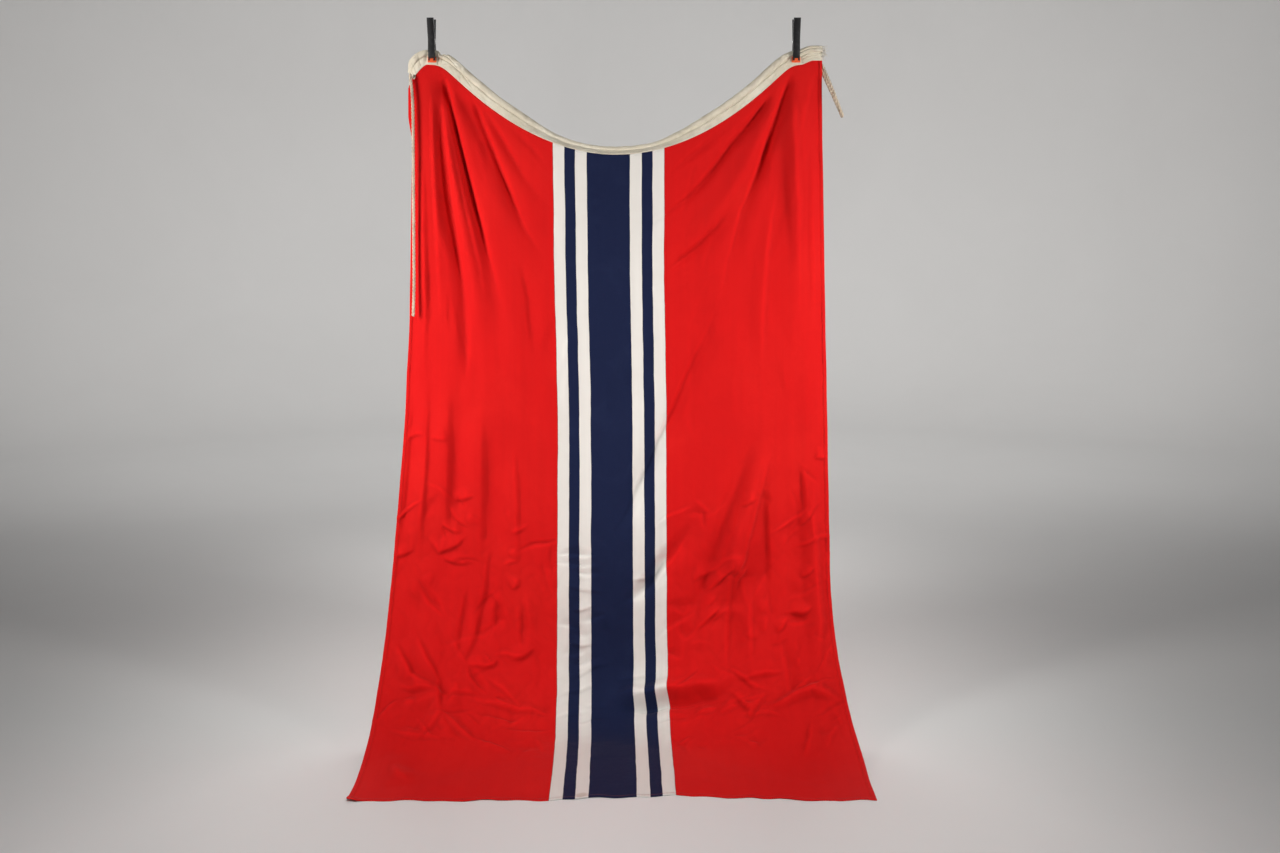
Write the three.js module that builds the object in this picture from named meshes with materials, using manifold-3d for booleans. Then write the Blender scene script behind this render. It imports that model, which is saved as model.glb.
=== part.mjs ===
// A large flag hung by its hoist edge from two spring clamps, its foot lying forward on the floor.
// Millimetres. X runs to the viewer's right, the flag's face looks along -Y, +Z is up and the floor is Z = 0.
// The cloth is drawn on its flat pattern: u runs across the hoist from its middle, v runs down from the heading.
import * as THREE from "three";
import { mergeVertices } from "three/addons/utils/BufferGeometryUtils.js";
import Module from "manifold-3d";

const wasm = await Module();
wasm.setup();

// Driving dimensions of the cloth
const FLAG_WIDTH = 1500;
const FLAG_LENGTH = 2500;
const CLOTH_THICK = 2;
const HEADING_WIDTH = 43;
const HEADING_THICK = 3;
const GAP = 0.3;
const COLUMNS = 46;
const ROWS = 46;
const HALF = FLAG_WIDTH / 2;

// Driving dimensions of the hang
const HOIST_LOW = 1807; // height of the cloth's top edge at the middle of its sag
const HOIST_CURVE = 9.6e-4; // sag of the hoist, as height gained over the square of the distance from the middle
const CLAMP_HEIGHT = 2079; // height of the cloth's top edge at the clamps
const CLAMP_X = { left: -561, right: 547 };
const FLOOR_REACH = 690; // how far the fly hem lies in front of the hanging plane
const BEND_MIDDLE = 500; // length of cloth that turns from hanging to lying, at the middle
const BEND_EDGE = 1120; // the same at the side edges, which lean further forward
const SLACK_ENDS = 1250; // the middle's slack is taken up above this distance from the heading

// Driving dimensions of the rope
const ROPE = 10;
const ROPE_SIDES = 8;

// Driving dimensions of a spring clamp
const CLAMP_WIDTH = 21;
const PAD = { width: 26, height: 17, thick: 4.5 };
const PAD_Z = 13; // height of a pad's middle above the cloth's top edge
const PIVOT_Z = 52; // height of the pivot above the pads' middle
const PIVOT_R = 2.6;
const COIL_R = 7;

const group = new THREE.Group();

const MATERIALS = {
  cloth: { color: 0xb01218, roughness: 0.9 },
  canvas: { color: 0xcdc3ad, roughness: 0.95 },
  rope: { color: 0xc9bda6, roughness: 0.95 },
  nylon: { color: 0x141414, roughness: 0.55 },
  pad: { color: 0xe8622a, roughness: 0.6 },
  steel: { color: 0x9a9da0, roughness: 0.35, metalness: 0.9 },
};

function add(name, geometry, finish) {
  const material = new THREE.MeshStandardMaterial(MATERIALS[finish]);
  const mesh = new THREE.Mesh(geometry, material);
  mesh.name = name;
  group.add(mesh);
  return mesh;
}

const clamp01 = (t) => Math.min(1, Math.max(0, t));
const smooth = (t) => clamp01(t) ** 2 * (3 - 2 * clamp01(t));
const ramp = (from, to, value) => smooth((value - from) / (to - from));

// ---------------------------------------------------------------- the hang of the cloth

// Forward and upward travel, per unit of bend, as the cloth turns smoothly from lying to hanging.
const TURN_STEPS = 200;
const TURN = [{ forward: 0, up: 0 }];
for (let i = 1; i <= TURN_STEPS; i++) {
  const angle = (Math.PI / 2) * smooth((i - 0.5) / TURN_STEPS);
  const last = TURN[i - 1];
  TURN.push({
    forward: last.forward + Math.cos(angle) / TURN_STEPS,
    up: last.up + Math.sin(angle) / TURN_STEPS,
  });
}

function turned(t) {
  const at = clamp01(t) * TURN_STEPS;
  const i = Math.min(TURN_STEPS - 1, Math.floor(at));
  const share = at - i;
  return {
    forward: TURN[i].forward * (1 - share) + TURN[i + 1].forward * share,
    up: TURN[i].up * (1 - share) + TURN[i + 1].up * share,
  };
}

const leftEdge = (v) => -622 - 36 * clamp01(v / 900) - 100 * ramp(700, 2100, v);
const rightEdge = (v) => 627 + 55 * clamp01(v / 1500) + 62 * ramp(1500, 2300, v);

// Place across the hang of a thread that lies at u on the flat cloth.
function across(u, v) {
  const middle = -26 + 8 * ramp(300, 1000, v) + 12 * ramp(1600, 2500, v);
  const spacing = 0.96 + 0.04 * ramp(800, 2200, v);
  const left = leftEdge(v);
  const right = rightEdge(v);
  const uneven = ((right + left) / 2 - middle) / HALF ** 2;
  const drawn = ((right - left) / 2 - spacing * HALF) / HALF ** 3;
  return middle + spacing * u + uneven * u * u + drawn * u ** 3;
}

// Height of the hoist seam: a sagging arc, level at the clamps, the left corner drooping and the right one raised.
function hoistHeight(x) {
  const arc = HOIST_LOW + HOIST_CURVE * x * x;
  const cap = CLAMP_HEIGHT - 50 * ramp(-575, -640, x) + 12 * ramp(560, 600, x);
  const blend = 12;
  return -blend * Math.log(Math.exp(-arc / blend) + Math.exp(-cap / blend));
}

// The fly hem lies in a slightly wavy line, drawn back a little right of the middle.
function floorReach(u) {
  const drawnBack = 34 * Math.exp(-(((u - 170) / 270) ** 2));
  return FLOOR_REACH - drawnBack + 4 * Math.sin(u / 41) + 3 * Math.sin(u / 17 + 1);
}

// The cloth's back face before its folds: straight threads that bend forward and run out on the floor.
function hang(u, v) {
  const bend = BEND_MIDDLE + (BEND_EDGE - BEND_MIDDLE) * smooth(Math.abs(u) / HALF);
  const full = turned(1);
  const reach = floorReach(u);
  const flat = Math.max(0, reach - full.forward * bend);
  const fromHem = FLAG_LENGTH - v;
  const part = turned((fromHem - flat) / bend);
  const y = -reach + Math.min(fromHem, flat) + bend * part.forward;
  const straight = Math.max(0, fromHem - flat - bend);
  const slack = FLAG_LENGTH - flat - bend + bend * full.up - hoistHeight(across(u, 0));
  const z = bend * part.up + straight - slack * (1 - smooth(v / SLACK_ENDS));
  return new THREE.Vector3(across(u, v), y, z);
}

// ---------------------------------------------------------------- folds

// Each fold follows points (u, v) on the flat cloth. Its depth is towards the viewer, or upwards on the floor;
// a negative depth is a trough. Width is the half width of its soft section.
const FOLDS = [
  // from the left clamp
  { depth: -34, width: 30, path: [[-585, 20], [-505, 150], [-462, 290], [-420, 410], [-375, 600], [-350, 720]] },
  { depth: 24, width: 34, path: [[-600, 60], [-540, 240], [-495, 420], [-450, 640], [-430, 860]] },
  { depth: -26, width: 32, path: [[-615, 60], [-578, 250], [-552, 400], [-518, 580], [-488, 780], [-480, 900]] },
  { depth: -14, width: 34, path: [[-520, 20], [-400, 130], [-330, 235], [-270, 330], [-180, 400]] },
  { depth: -9, width: 26, path: [[-480, 15], [-350, 85], [-250, 170], [-120, 230]] },
  // from the right clamp
  { depth: -18, width: 34, path: [[610, 20], [560, 95], [505, 200], [430, 370], [385, 520], [345, 700]] },
  { depth: -13, width: 34, path: [[560, 15], [400, 90], [300, 158], [190, 215], [50, 285]] },
  { depth: 12, width: 40, path: [[600, 60], [470, 180], [330, 300], [200, 380], [60, 440]] },
  { depth: -12, width: 34, path: [[560, 130], [430, 290], [300, 370], [150, 440], [20, 520]] },
  { depth: 16, width: 55, path: [[640, 80], [645, 300], [640, 520], [620, 760], [600, 1000]] },
  { depth: -15, width: 50, path: [[345, 680], [270, 820], [190, 1010], [90, 1200], [-10, 1330]] },
  // side panels
  { depth: 22, width: 30, path: [[-590, 900], [-578, 1100], [-574, 1300], [-580, 1480]] },
  { depth: -18, width: 26, path: [[-540, 960], [-532, 1150], [-530, 1300], [-525, 1450]] },
  { depth: 20, width: 28, path: [[-470, 960], [-450, 1120], [-446, 1300], [-455, 1450]] },
  { depth: -16, width: 30, path: [[-410, 1000], [-400, 1150], [-395, 1350], [-380, 1560], [-378, 1780]] },
  { depth: 14, width: 34, path: [[-662, 900], [-655, 1150], [-660, 1350], [-672, 1520]] },
  { depth: -22, width: 34, path: [[500, 980], [455, 1150], [405, 1290], [345, 1460], [285, 1610], [240, 1740]] },
  { depth: 20, width: 36, path: [[545, 1060], [490, 1200], [435, 1350], [400, 1500], [385, 1680]] },
  { depth: -12, width: 28, path: [[290, 1310], [205, 1420], [130, 1505], [40, 1560]] },
  { depth: -13, width: 30, path: [[520, 1180], [508, 1350], [515, 1500], [525, 1680]] },
  { depth: 16, width: 36, path: [[660, 1180], [682, 1380], [694, 1580], [690, 1760], [650, 1900]] },
  { depth: -12, width: 30, path: [[600, 1180], [610, 1380], [600, 1580], [590, 1780]] },
  // where the cloth meets the floor
  { depth: 30, width: 34, path: [[-60, 1880], [60, 1862], [200, 1866], [330, 1862], [440, 1850]] },
  { depth: -20, width: 24, path: [[10, 1915], [130, 1922], [260, 1926], [380, 1905]] },
  { depth: 18, width: 30, path: [[470, 2010], [570, 1965], [650, 1935], [745, 1990]] },
  { depth: 18, width: 32, path: [[-730, 1780], [-650, 1880], [-560, 1935], [-450, 1960]] },
  { depth: 16, width: 28, path: [[-700, 2080], [-640, 1985], [-560, 1950], [-520, 2060], [-480, 2140]] },
  { depth: 10, width: 40, path: [[-660, 2180], [-640, 2300], [-600, 2400]] },
];
const SIDE_CURL = -26; // the side edges turn back beside the upper panels
const MIDDLE_SET = -30; // the slack middle stands back from the side panels
const FOLD_END = 0.3; // share of a fold over which it grows from nothing

function foldShape(fold, u, v) {
  let nearest = Infinity;
  let along = 0;
  const pieces = fold.path.length - 1;
  for (let i = 0; i < pieces; i++) {
    const [u0, v0] = fold.path[i];
    const du = fold.path[i + 1][0] - u0;
    const dv = fold.path[i + 1][1] - v0;
    const t = clamp01(((u - u0) * du + (v - v0) * dv) / (du * du + dv * dv));
    const distance = Math.hypot(u - u0 - du * t, v - v0 - dv * t);
    if (distance < nearest) {
      nearest = distance;
      along = (i + t) / pieces;
    }
  }
  const ends = smooth(along / FOLD_END) * smooth((1 - along) / FOLD_END);
  return fold.depth * ends * Math.exp(-((nearest / fold.width) ** 2));
}

function depth(u, v) {
  let sum = 0;
  for (const fold of FOLDS) sum += foldShape(fold, u, v);
  sum += SIDE_CURL * ramp(HALF - 90, HALF, Math.abs(u)) * ramp(0, 300, v) * ramp(1500, 1000, v);
  sum += MIDDLE_SET * (1 - smooth(Math.abs(u) / 420)) * ramp(0, 400, v) * ramp(1500, 900, v);
  return sum * ramp(0, 60, v) * ramp(FLAG_LENGTH, FLAG_LENGTH - 60, v);
}

// Unit normal of a surface point(u, v), on the side of the cloth's face.
function normalOf(point, u, v) {
  const step = 1;
  const du = point(u + step, v).sub(point(u - step, v));
  const dv = point(u, v + step).sub(point(u, v - step));
  return dv.cross(du).normalize();
}

function clothBack(u, v) {
  const at = hang(u, v);
  at.addScaledVector(normalOf(hang, u, v), depth(u, v));
  at.z = Math.max(0, at.z);
  return at;
}

// ---------------------------------------------------------------- sheets

// Turns the diagonals of a flat box's back, so that a thin sheet creases alike on both sides.
function matchBack(geometry) {
  const back = geometry.groups.at(-1);
  const corners = geometry.index.array;
  for (let i = back.start; i < back.start + back.count; i += 6) {
    const [a, b, d] = corners.slice(i, i + 3);
    const c = corners[i + 4];
    corners.set([a, b, c, a, c, d], i);
  }
}

// Bends a flat box of cloth, width by length by thickness, onto a surface given by its back face.
function bendSheet(width, length, thick, columns, rows, back) {
  const geometry = new THREE.BoxGeometry(width, length, thick, columns, rows, 1);
  matchBack(geometry);
  const place = geometry.getAttribute("position");
  for (let i = 0; i < place.count; i++) {
    const u = closer(place.getX(i));
    const v = length / 2 - place.getY(i);
    const lift = thick / 2 + place.getZ(i);
    const at = back(u, v).addScaledVector(normalOf(back, u, v), lift);
    place.setXYZ(i, at.x, at.y, Math.max(0, at.z));
  }
  return geometry;
}

// The canvas sleeve stands above the hoist seam, leaning back where the hoist sags and at its drooping left end.
function headingBack(u, v) {
  const seam = clothBack(u, 0);
  const along = clothBack(u + 1, 0).sub(clothBack(u - 1, 0)).normalize();
  const upright = new THREE.Vector3(-along.z, 0, along.x);
  const leaning = 1.02 * (1 - ramp(120, 420, Math.abs(u))) + 0.9 * ramp(-690, -750, u);
  const rise = HEADING_WIDTH + GAP - v;
  const outward = upright.multiplyScalar(Math.cos(leaning));
  outward.y = Math.sin(leaning);
  return seam.addScaledVector(outward, rise);
}

// Columns stand closer together beside the plain middle, where the folds are.
const closer = (u) => HALF * Math.sign(u) * (Math.abs(u) / HALF) ** 0.8;

function makeCloth() {
  const geometry = bendSheet(FLAG_WIDTH, FLAG_LENGTH, CLOTH_THICK, COLUMNS, ROWS, clothBack);
  add("flag_cloth", geometry, "cloth");
}

function makeHeading() {
  const geometry = bendSheet(FLAG_WIDTH, HEADING_WIDTH, HEADING_THICK, COLUMNS, 1, headingBack);
  add("heading", geometry, "canvas");
}

// ---------------------------------------------------------------- rope

function makeRope(name, points, steps) {
  const route = new THREE.CatmullRomCurve3(points.map((p) => new THREE.Vector3(...p)), false, "centripetal");
  const section = new THREE.Shape();
  for (let i = 0; i < ROPE_SIDES; i++) {
    const angle = (2 * Math.PI * i) / ROPE_SIDES;
    const x = (ROPE / 2) * Math.cos(angle);
    const y = (ROPE / 2) * Math.sin(angle);
    if (i) section.lineTo(x, y);
    else section.moveTo(x, y);
  }
  section.closePath();
  const geometry = new THREE.ExtrudeGeometry(section, { extrudePath: route, steps, bevelEnabled: false });
  add(name, geometry, "rope");
}

// The hoist rope leaves the heading's left end and hangs down in front of the cloth's edge.
const TAIL_ROUTE = [
  [-628, -12, 2050], [-626, -15, 2030], [-623, -17, 2000], [-621, -18, 1960], [-621, -18, 1910],
  [-622, -18, 1850], [-623, -18, 1790], [-624, -18, 1730], [-625, -18, 1670], [-626, -18, 1610],
  [-627, -18, 1550], [-628, -18, 1490], [-629, -19, 1430], [-631, -20, 1370], [-634, -20, 1310],
];

// At the right end it comes out behind the heading in one short loop.
const LOOP_ROUTE = [
  [606, 10, 2101], [616, 17, 2086], [628, 20, 2062], [641, 19, 2034], [655, 16, 2004],
  [668, 12, 1976], [679, 7, 1951], [687, 0, 1932], [690, -9, 1923], [689, -19, 1926],
  [683, -27, 1938], [675, -31, 1956], [667, -30, 1976], [659, -25, 1998], [650, -15, 2022],
  [641, -3, 2046], [631, 8, 2070], [619, 13, 2090], [607, 24, 2106],
];

// ---------------------------------------------------------------- spring clamps

function solidOf(geometry) {
  const bare = geometry.index ? geometry.toNonIndexed() : geometry.clone();
  bare.deleteAttribute("normal");
  bare.deleteAttribute("uv");
  const merged = mergeVertices(bare, 1e-3);
  const vertProperties = new Float32Array(merged.getAttribute("position").array);
  const triVerts = new Uint32Array(merged.index.array);
  return new wasm.Manifold(new wasm.Mesh({ numProp: 3, vertProperties, triVerts }));
}

function geometryOf(solid) {
  const mesh = solid.getMesh();
  const geometry = new THREE.BufferGeometry();
  geometry.setAttribute("position", new THREE.BufferAttribute(mesh.vertProperties, 3));
  geometry.setIndex(new THREE.BufferAttribute(mesh.triVerts, 1));
  return geometry;
}

// A side profile of (y, z) points, extruded along X between two values.
function slab(points, fromX, toX) {
  const shape = new THREE.Shape(points.map(([y, z]) => new THREE.Vector2(y, z)));
  const geometry = new THREE.ExtrudeGeometry(shape, { depth: toX - fromX, bevelEnabled: false });
  geometry.applyMatrix4(new THREE.Matrix4().set(0, 0, 1, fromX, 1, 0, 0, 0, 0, 1, 0, 0, 0, 0, 0, 1));
  return geometry;
}

function rod(radius, length, y, z, sides) {
  const geometry = new THREE.CylinderGeometry(radius, radius, length, sides);
  geometry.rotateZ(Math.PI / 2);
  geometry.translate(0, y, z);
  return geometry;
}

// One lever: a forked jaw, two ears round the pivot and a flared handle. It stands in front of the pivot.
function leverSolid(earOut) {
  const half = CLAMP_WIDTH / 2;
  const arm = solidOf(slab([
    [-8.6, -3], [-7, 9], [-8.4, 24], [-8.4, 60], [-17, 92], [-26, 122],
    [-30, 122], [-29, 112], [-20, 84], [-13.5, 62], [-13.5, 46], [-16, 30], [-15, 12], [-13.6, -3],
  ], -half, half));
  const ear = [
    [-9, PIVOT_Z - 13], [0, PIVOT_Z - 7], [5, PIVOT_Z - 5], [7, PIVOT_Z],
    [5, PIVOT_Z + 5], [0, PIVOT_Z + 7], [-9, PIVOT_Z + 12],
  ];
  const earThick = 2.4;
  const right = solidOf(slab(ear, earOut - earThick, earOut));
  const left = solidOf(slab(ear, -earOut, earThick - earOut));
  const fork = solidOf(slab([[-30, -12], [20, -12], [20, 4.5], [-30, 4.5]], -5.5, 5.5));
  const bore = solidOf(rod(PIVOT_R + GAP, 60, 0, PIVOT_Z, 20));
  return arm.add(right).add(left).subtract(fork).subtract(bore);
}

// One grip pad: a plate on the heading with a boss between the jaw's fork.
function padSolid() {
  const { width, height, thick } = PAD;
  const face = HEADING_THICK / 2 + GAP;
  const plate = solidOf(slab([
    [-face, -height / 2], [-face, height / 2], [-face - 1.5, height / 2],
    [-face - thick, height / 2 - 3], [-face - thick, 3 - height / 2], [-face - 1.5, -height / 2],
  ].reverse(), -width / 2, width / 2));
  const boss = solidOf(slab([
    [-face - thick + 0.5, -4], [-face - thick + 0.5, 4], [-15, 3], [-16, 0], [-15, -3],
  ].reverse(), -5.2, 5.2));
  return plate.add(boss);
}

function makeClamp(side) {
  const x = CLAMP_X[side];
  const y = -HEADING_THICK / 2;
  const z = CLAMP_HEIGHT + PAD_Z;
  const place = (name, geometry, finish, turn = 0) => {
    const mesh = add(`${side}_clamp_${name}`, geometry, finish);
    mesh.position.set(x, y, z);
    mesh.rotation.z = turn;
  };
  place("front_lever", geometryOf(leverSolid(CLAMP_WIDTH / 2 - 0.1)), "nylon");
  place("back_lever", geometryOf(leverSolid(CLAMP_WIDTH / 2 - 3)), "nylon", Math.PI);
  place("front_pad", geometryOf(padSolid()), "pad");
  place("back_pad", geometryOf(padSolid()), "pad", Math.PI);
  place("pivot", rod(PIVOT_R, CLAMP_WIDTH + 3, 0, PIVOT_Z, 20), "steel");
  const bobbin = solidOf(rod(COIL_R, 8.6, 0, PIVOT_Z, 24)).subtract(solidOf(rod(PIVOT_R + GAP, 20, 0, PIVOT_Z, 20)));
  place("spring", geometryOf(bobbin), "steel");
}

makeCloth();
makeHeading();
makeRope("rope_tail", TAIL_ROUTE, 36);
makeRope("rope_loop", LOOP_ROUTE, 44);
makeClamp("left");
makeClamp("right");

// The origin is the middle of the base of everything but the free rope.
const base = new THREE.Box3();
for (const mesh of group.children) {
  if (!mesh.name.startsWith("rope")) base.expandByObject(mesh, true);
}
const middle = base.getCenter(new THREE.Vector3());
group.position.set(-middle.x, -middle.y, -base.min.z);

export default group;
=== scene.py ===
"""A large striped flag hung by its hoist edge from two spring clamps, its foot lying forward on the floor.

Metres. X runs to the viewer's right, the flag's face looks along -Y, +Z is up and the floor is Z = 0.
The cloth is drawn on its flat cut: u runs across the hoist from its middle, v runs down from the heading.
Creases are listed in millimetres of the flat cut.
"""

import math

import bmesh
import bpy
import numpy as np
from mathutils import Matrix, Vector


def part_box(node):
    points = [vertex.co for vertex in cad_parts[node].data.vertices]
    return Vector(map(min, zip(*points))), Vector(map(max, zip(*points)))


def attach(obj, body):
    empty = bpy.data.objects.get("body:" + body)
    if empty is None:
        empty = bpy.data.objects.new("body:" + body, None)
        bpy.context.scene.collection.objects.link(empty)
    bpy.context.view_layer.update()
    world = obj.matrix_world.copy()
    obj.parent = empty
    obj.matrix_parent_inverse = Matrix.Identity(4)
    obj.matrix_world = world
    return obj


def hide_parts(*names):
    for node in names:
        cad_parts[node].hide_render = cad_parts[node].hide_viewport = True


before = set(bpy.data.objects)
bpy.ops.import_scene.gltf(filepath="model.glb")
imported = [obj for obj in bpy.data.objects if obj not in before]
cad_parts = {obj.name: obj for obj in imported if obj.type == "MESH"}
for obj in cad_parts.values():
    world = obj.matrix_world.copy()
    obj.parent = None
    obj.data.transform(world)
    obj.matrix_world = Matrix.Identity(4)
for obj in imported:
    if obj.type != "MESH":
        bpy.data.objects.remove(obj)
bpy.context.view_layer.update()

MM = 0.001
FULL_TURN = 2 * math.pi
FLAG_WIDTH = 1.5
FLAG_LENGTH = 2.5
HALF = FLAG_WIDTH / 2
BAND_HALF = 0.180  # half the width of the stripe band

# The model's places are given from the left clamp's pivot, whose middle stands here in the hang's own measure.
PIVOT_AT = Vector((-0.561, -0.0015, 2.144))
PIVOT_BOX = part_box("left_clamp_pivot")
SHIFT = (PIVOT_BOX[0] + PIVOT_BOX[1]) / 2 - PIVOT_AT

# ---------------------------------------------------------------- camera

LENS = 43.59
SENSOR = 36.0
CAMERA_AT = Vector((0.072, -4.84, 1.727))
LOOKS_DOWN = 9  # degrees below level
camera_data = bpy.data.cameras.new("camera")
camera_data.lens = LENS
camera_data.sensor_width = SENSOR
camera = bpy.data.objects.new("camera", camera_data)
camera.location = CAMERA_AT + SHIFT
camera.rotation_euler = (math.radians(90 - LOOKS_DOWN), 0, 0)
bpy.context.scene.collection.objects.link(camera)
bpy.context.scene.camera = camera

# ---------------------------------------------------------------- small sums


def clamp01(t):
    return np.clip(t, 0.0, 1.0)


def smooth(t):
    t = clamp01(t)
    return t * t * (3 - 2 * t)


def ramp(start, end, value):
    """Goes softly from 0 where value is start to 1 where it is end."""
    return smooth((value - start) / (end - start))


def unit(vectors):
    return vectors / np.maximum(np.linalg.norm(vectors, axis=-1, keepdims=True), 1e-12)


RIPPLE_CELLS = 97  # cells after which the noise repeats
RIPPLE_START = 500  # keeps the cells' numbers positive


def ripple(u, v, per_metre, seed):
    """Smooth noise of about -0.5 to 0.5 over the flat cut; per_metre is its fineness along u and along v."""
    slopes = np.random.default_rng(seed).uniform(-1, 1, (2, RIPPLE_CELLS, RIPPLE_CELLS))
    a, b = u * per_metre[0] + RIPPLE_START, v * per_metre[1] + RIPPLE_START
    i, j = np.floor(a).astype(int), np.floor(b).astype(int)
    p, q = a - i, b - j

    def pull(di, dj):
        slope = slopes[:, (i + di) % RIPPLE_CELLS, (j + dj) % RIPPLE_CELLS]
        return slope[0] * (p - di) + slope[1] * (q - dj)

    fade_p = p**3 * (p * (p * 6 - 15) + 10)
    fade_q = q**3 * (q * (q * 6 - 15) + 10)
    near = pull(0, 0) * (1 - fade_p) + pull(1, 0) * fade_p
    far = pull(0, 1) * (1 - fade_p) + pull(1, 1) * fade_p
    return near * (1 - fade_q) + far * fade_q


def spline(points, per_piece):
    """A smooth curve through points, as an array of places."""
    knots = np.array(points, float)
    knots = np.vstack([2 * knots[0] - knots[1], knots, 2 * knots[-1] - knots[-2]])
    t = np.linspace(0, 1, per_piece, endpoint=False)[:, None]
    pieces = []
    for a, b, c, d in zip(knots, knots[1:], knots[2:], knots[3:]):
        pieces.append(0.5 * (2 * b + (c - a) * t + (2 * a - 5 * b + 4 * c - d) * t**2
                             + (3 * b - a - 3 * c + d) * t**3))
    return np.vstack(pieces + [knots[-2:-1]])


# ---------------------------------------------------------------- pieces and meshes


def finish_piece(name, bm, material, nodes=(), flat_map=None):
    """Makes an object of a bmesh, rides it on the body and hides the solids it stands for."""
    mesh = bpy.data.meshes.new(name)
    bm.to_mesh(mesh)
    bm.free()
    mesh.materials.append(material)
    mesh.shade_smooth()
    if flat_map is not None:
        corners = np.zeros(len(mesh.loops), np.int32)
        mesh.loops.foreach_get("vertex_index", corners)
        layer = mesh.uv_layers.new(name="Flat")
        layer.data.foreach_set("uv", flat_map[corners].astype(np.float32).ravel())
    piece = bpy.data.objects.new(name, mesh)
    bpy.context.scene.collection.objects.link(piece)
    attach(piece, "root")
    if nodes:
        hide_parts(*nodes)
    return piece


def sheet_grid(columns, rows):
    """A bmesh grid and, for each of its points, the column and row that it belongs to."""
    bm = bmesh.new()
    bmesh.ops.create_grid(bm, x_segments=len(columns) - 1, y_segments=len(rows) - 1, size=1)
    at = np.array([v.co[:2] for v in bm.verts])
    column = np.rint((at[:, 0] + 1) / 2 * (len(columns) - 1)).astype(int)
    row = np.rint((1 - at[:, 1]) / 2 * (len(rows) - 1)).astype(int)
    return bm, column, row


def move_points(bm, places):
    for vertex, place in zip(bm.verts, places):
        vertex.co = place


STRAY_WAY = (0.3, 1.0, 0.2)  # no tube starts off in this direction
WELD = 1e-6


def tube(bm, path, sides, radius_at):
    """Adds a closed tube along a path; radius_at(angle, along) gives its radius at each place."""
    path = np.array(path, float)
    ahead = unit(np.gradient(path, axis=0))
    along = np.concatenate([[0], np.cumsum(np.linalg.norm(np.diff(path, axis=0), axis=1))])
    across = np.cross(ahead[0], STRAY_WAY)
    frames = []
    for tangent in ahead:
        across = across - tangent * (across @ tangent)
        across = across / np.linalg.norm(across)
        frames.append((across, np.cross(tangent, across)))
    made = bmesh.new()
    bmesh.ops.create_grid(made, x_segments=sides, y_segments=len(path) - 1, size=1)
    for vertex in made.verts:
        step = int(round((vertex.co.y + 1) / 2 * (len(path) - 1)))
        angle = math.pi * (vertex.co.x + 1)
        side, up = frames[step]
        radius = radius_at(angle, along[step])
        vertex.co = path[step] + radius * (math.cos(angle) * side + math.sin(angle) * up)
    bmesh.ops.remove_doubles(made, verts=made.verts, dist=WELD)
    bmesh.ops.holes_fill(made, edges=[e for e in made.edges if e.is_boundary], sides=0)
    bmesh.ops.recalc_face_normals(made, faces=made.faces)
    join_into(bm, made)
    return along[-1]


def join_into(bm, other):
    carrier = bpy.data.meshes.new("carrier")
    other.to_mesh(carrier)
    other.free()
    bm.from_mesh(carrier)
    bpy.data.meshes.remove(carrier)


# ---------------------------------------------------------------- finishes


def feed(tree, socket, value):
    """Sets a socket to a number or a colour, or links it to a (node, output)."""
    if isinstance(value, tuple) and isinstance(value[0], bpy.types.Node):
        tree.links.new(value[0].outputs[value[1]], socket)
    else:
        socket.default_value = value


def feed_inputs(tree, node, inputs):
    """Feeds a node's sockets by name, with underscores for spaces."""
    for name, value in inputs.items():
        feed(tree, node.inputs[name.replace("_", " ")], value)
    return node


def new_node(tree, kind, **inputs):
    return feed_inputs(tree, tree.nodes.new(kind), inputs)


def sum_node(tree, operation, *values):
    """A Math node on values, each a number or a (node, output)."""
    node = tree.nodes.new("ShaderNodeMath")
    node.operation = operation
    for socket, value in zip(node.inputs, values):
        feed(tree, socket, value)
    return node, 0


def mixed(tree, share, first, second, blend="MIX"):
    """A colour mixed from two, each a colour or a (node, output)."""
    node = tree.nodes.new("ShaderNodeMix")
    node.data_type = "RGBA"
    node.blend_type = blend
    # The sockets for colours come after those for numbers and directions.
    for socket, value in ((0, share), (6, first), (7, second)):
        feed(tree, node.inputs[socket], value)
    return node, 2


def partly(tree, share, mask, first, second):
    """A colour mixed from two by a share of a mask."""
    return mixed(tree, sum_node(tree, "MULTIPLY", mask, share), first, second)


def shaded(tree, colour, value):
    """A colour made darker or lighter by a value."""
    grey = tree.nodes.new("ShaderNodeCombineColor")
    for socket in grey.inputs:
        feed(tree, socket, value)
    return mixed(tree, 1.0, colour, (grey, 0), "MULTIPLY")


def spread_over(tree, value, low, high, to_low=0.0, to_high=1.0):
    """A value stretched from one range to another and kept inside it."""
    return new_node(tree, "ShaderNodeMapRange", Value=value, From_Min=low, From_Max=high, To_Min=to_low,
                    To_Max=to_high), 0


def place_on(tree, source, move, scale=(1, 1, 1)):
    """A (node, output) of places moved and stretched."""
    return new_node(tree, "ShaderNodeMapping", Vector=(source, 0), Location=move, Scale=scale), 0


def flat_cut(tree):
    """A node that gives the place on a piece's flat cut, from its own UV map."""
    node = tree.nodes.new("ShaderNodeUVMap")
    node.uv_map = "Flat"
    return node


def new_group(name, inputs, outputs):
    """An empty shader node group with its sockets, and its input and output nodes."""
    group = bpy.data.node_groups.new(name, "ShaderNodeTree")
    for label, kind, value in inputs:
        socket = group.interface.new_socket(label, in_out="INPUT", socket_type=kind)
        if value is not None:
            socket.default_value = value
    for label in outputs:
        group.interface.new_socket(label, in_out="OUTPUT", socket_type="NodeSocketFloat")
    return group, group.nodes.new("NodeGroupInput"), group.nodes.new("NodeGroupOutput")


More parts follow.
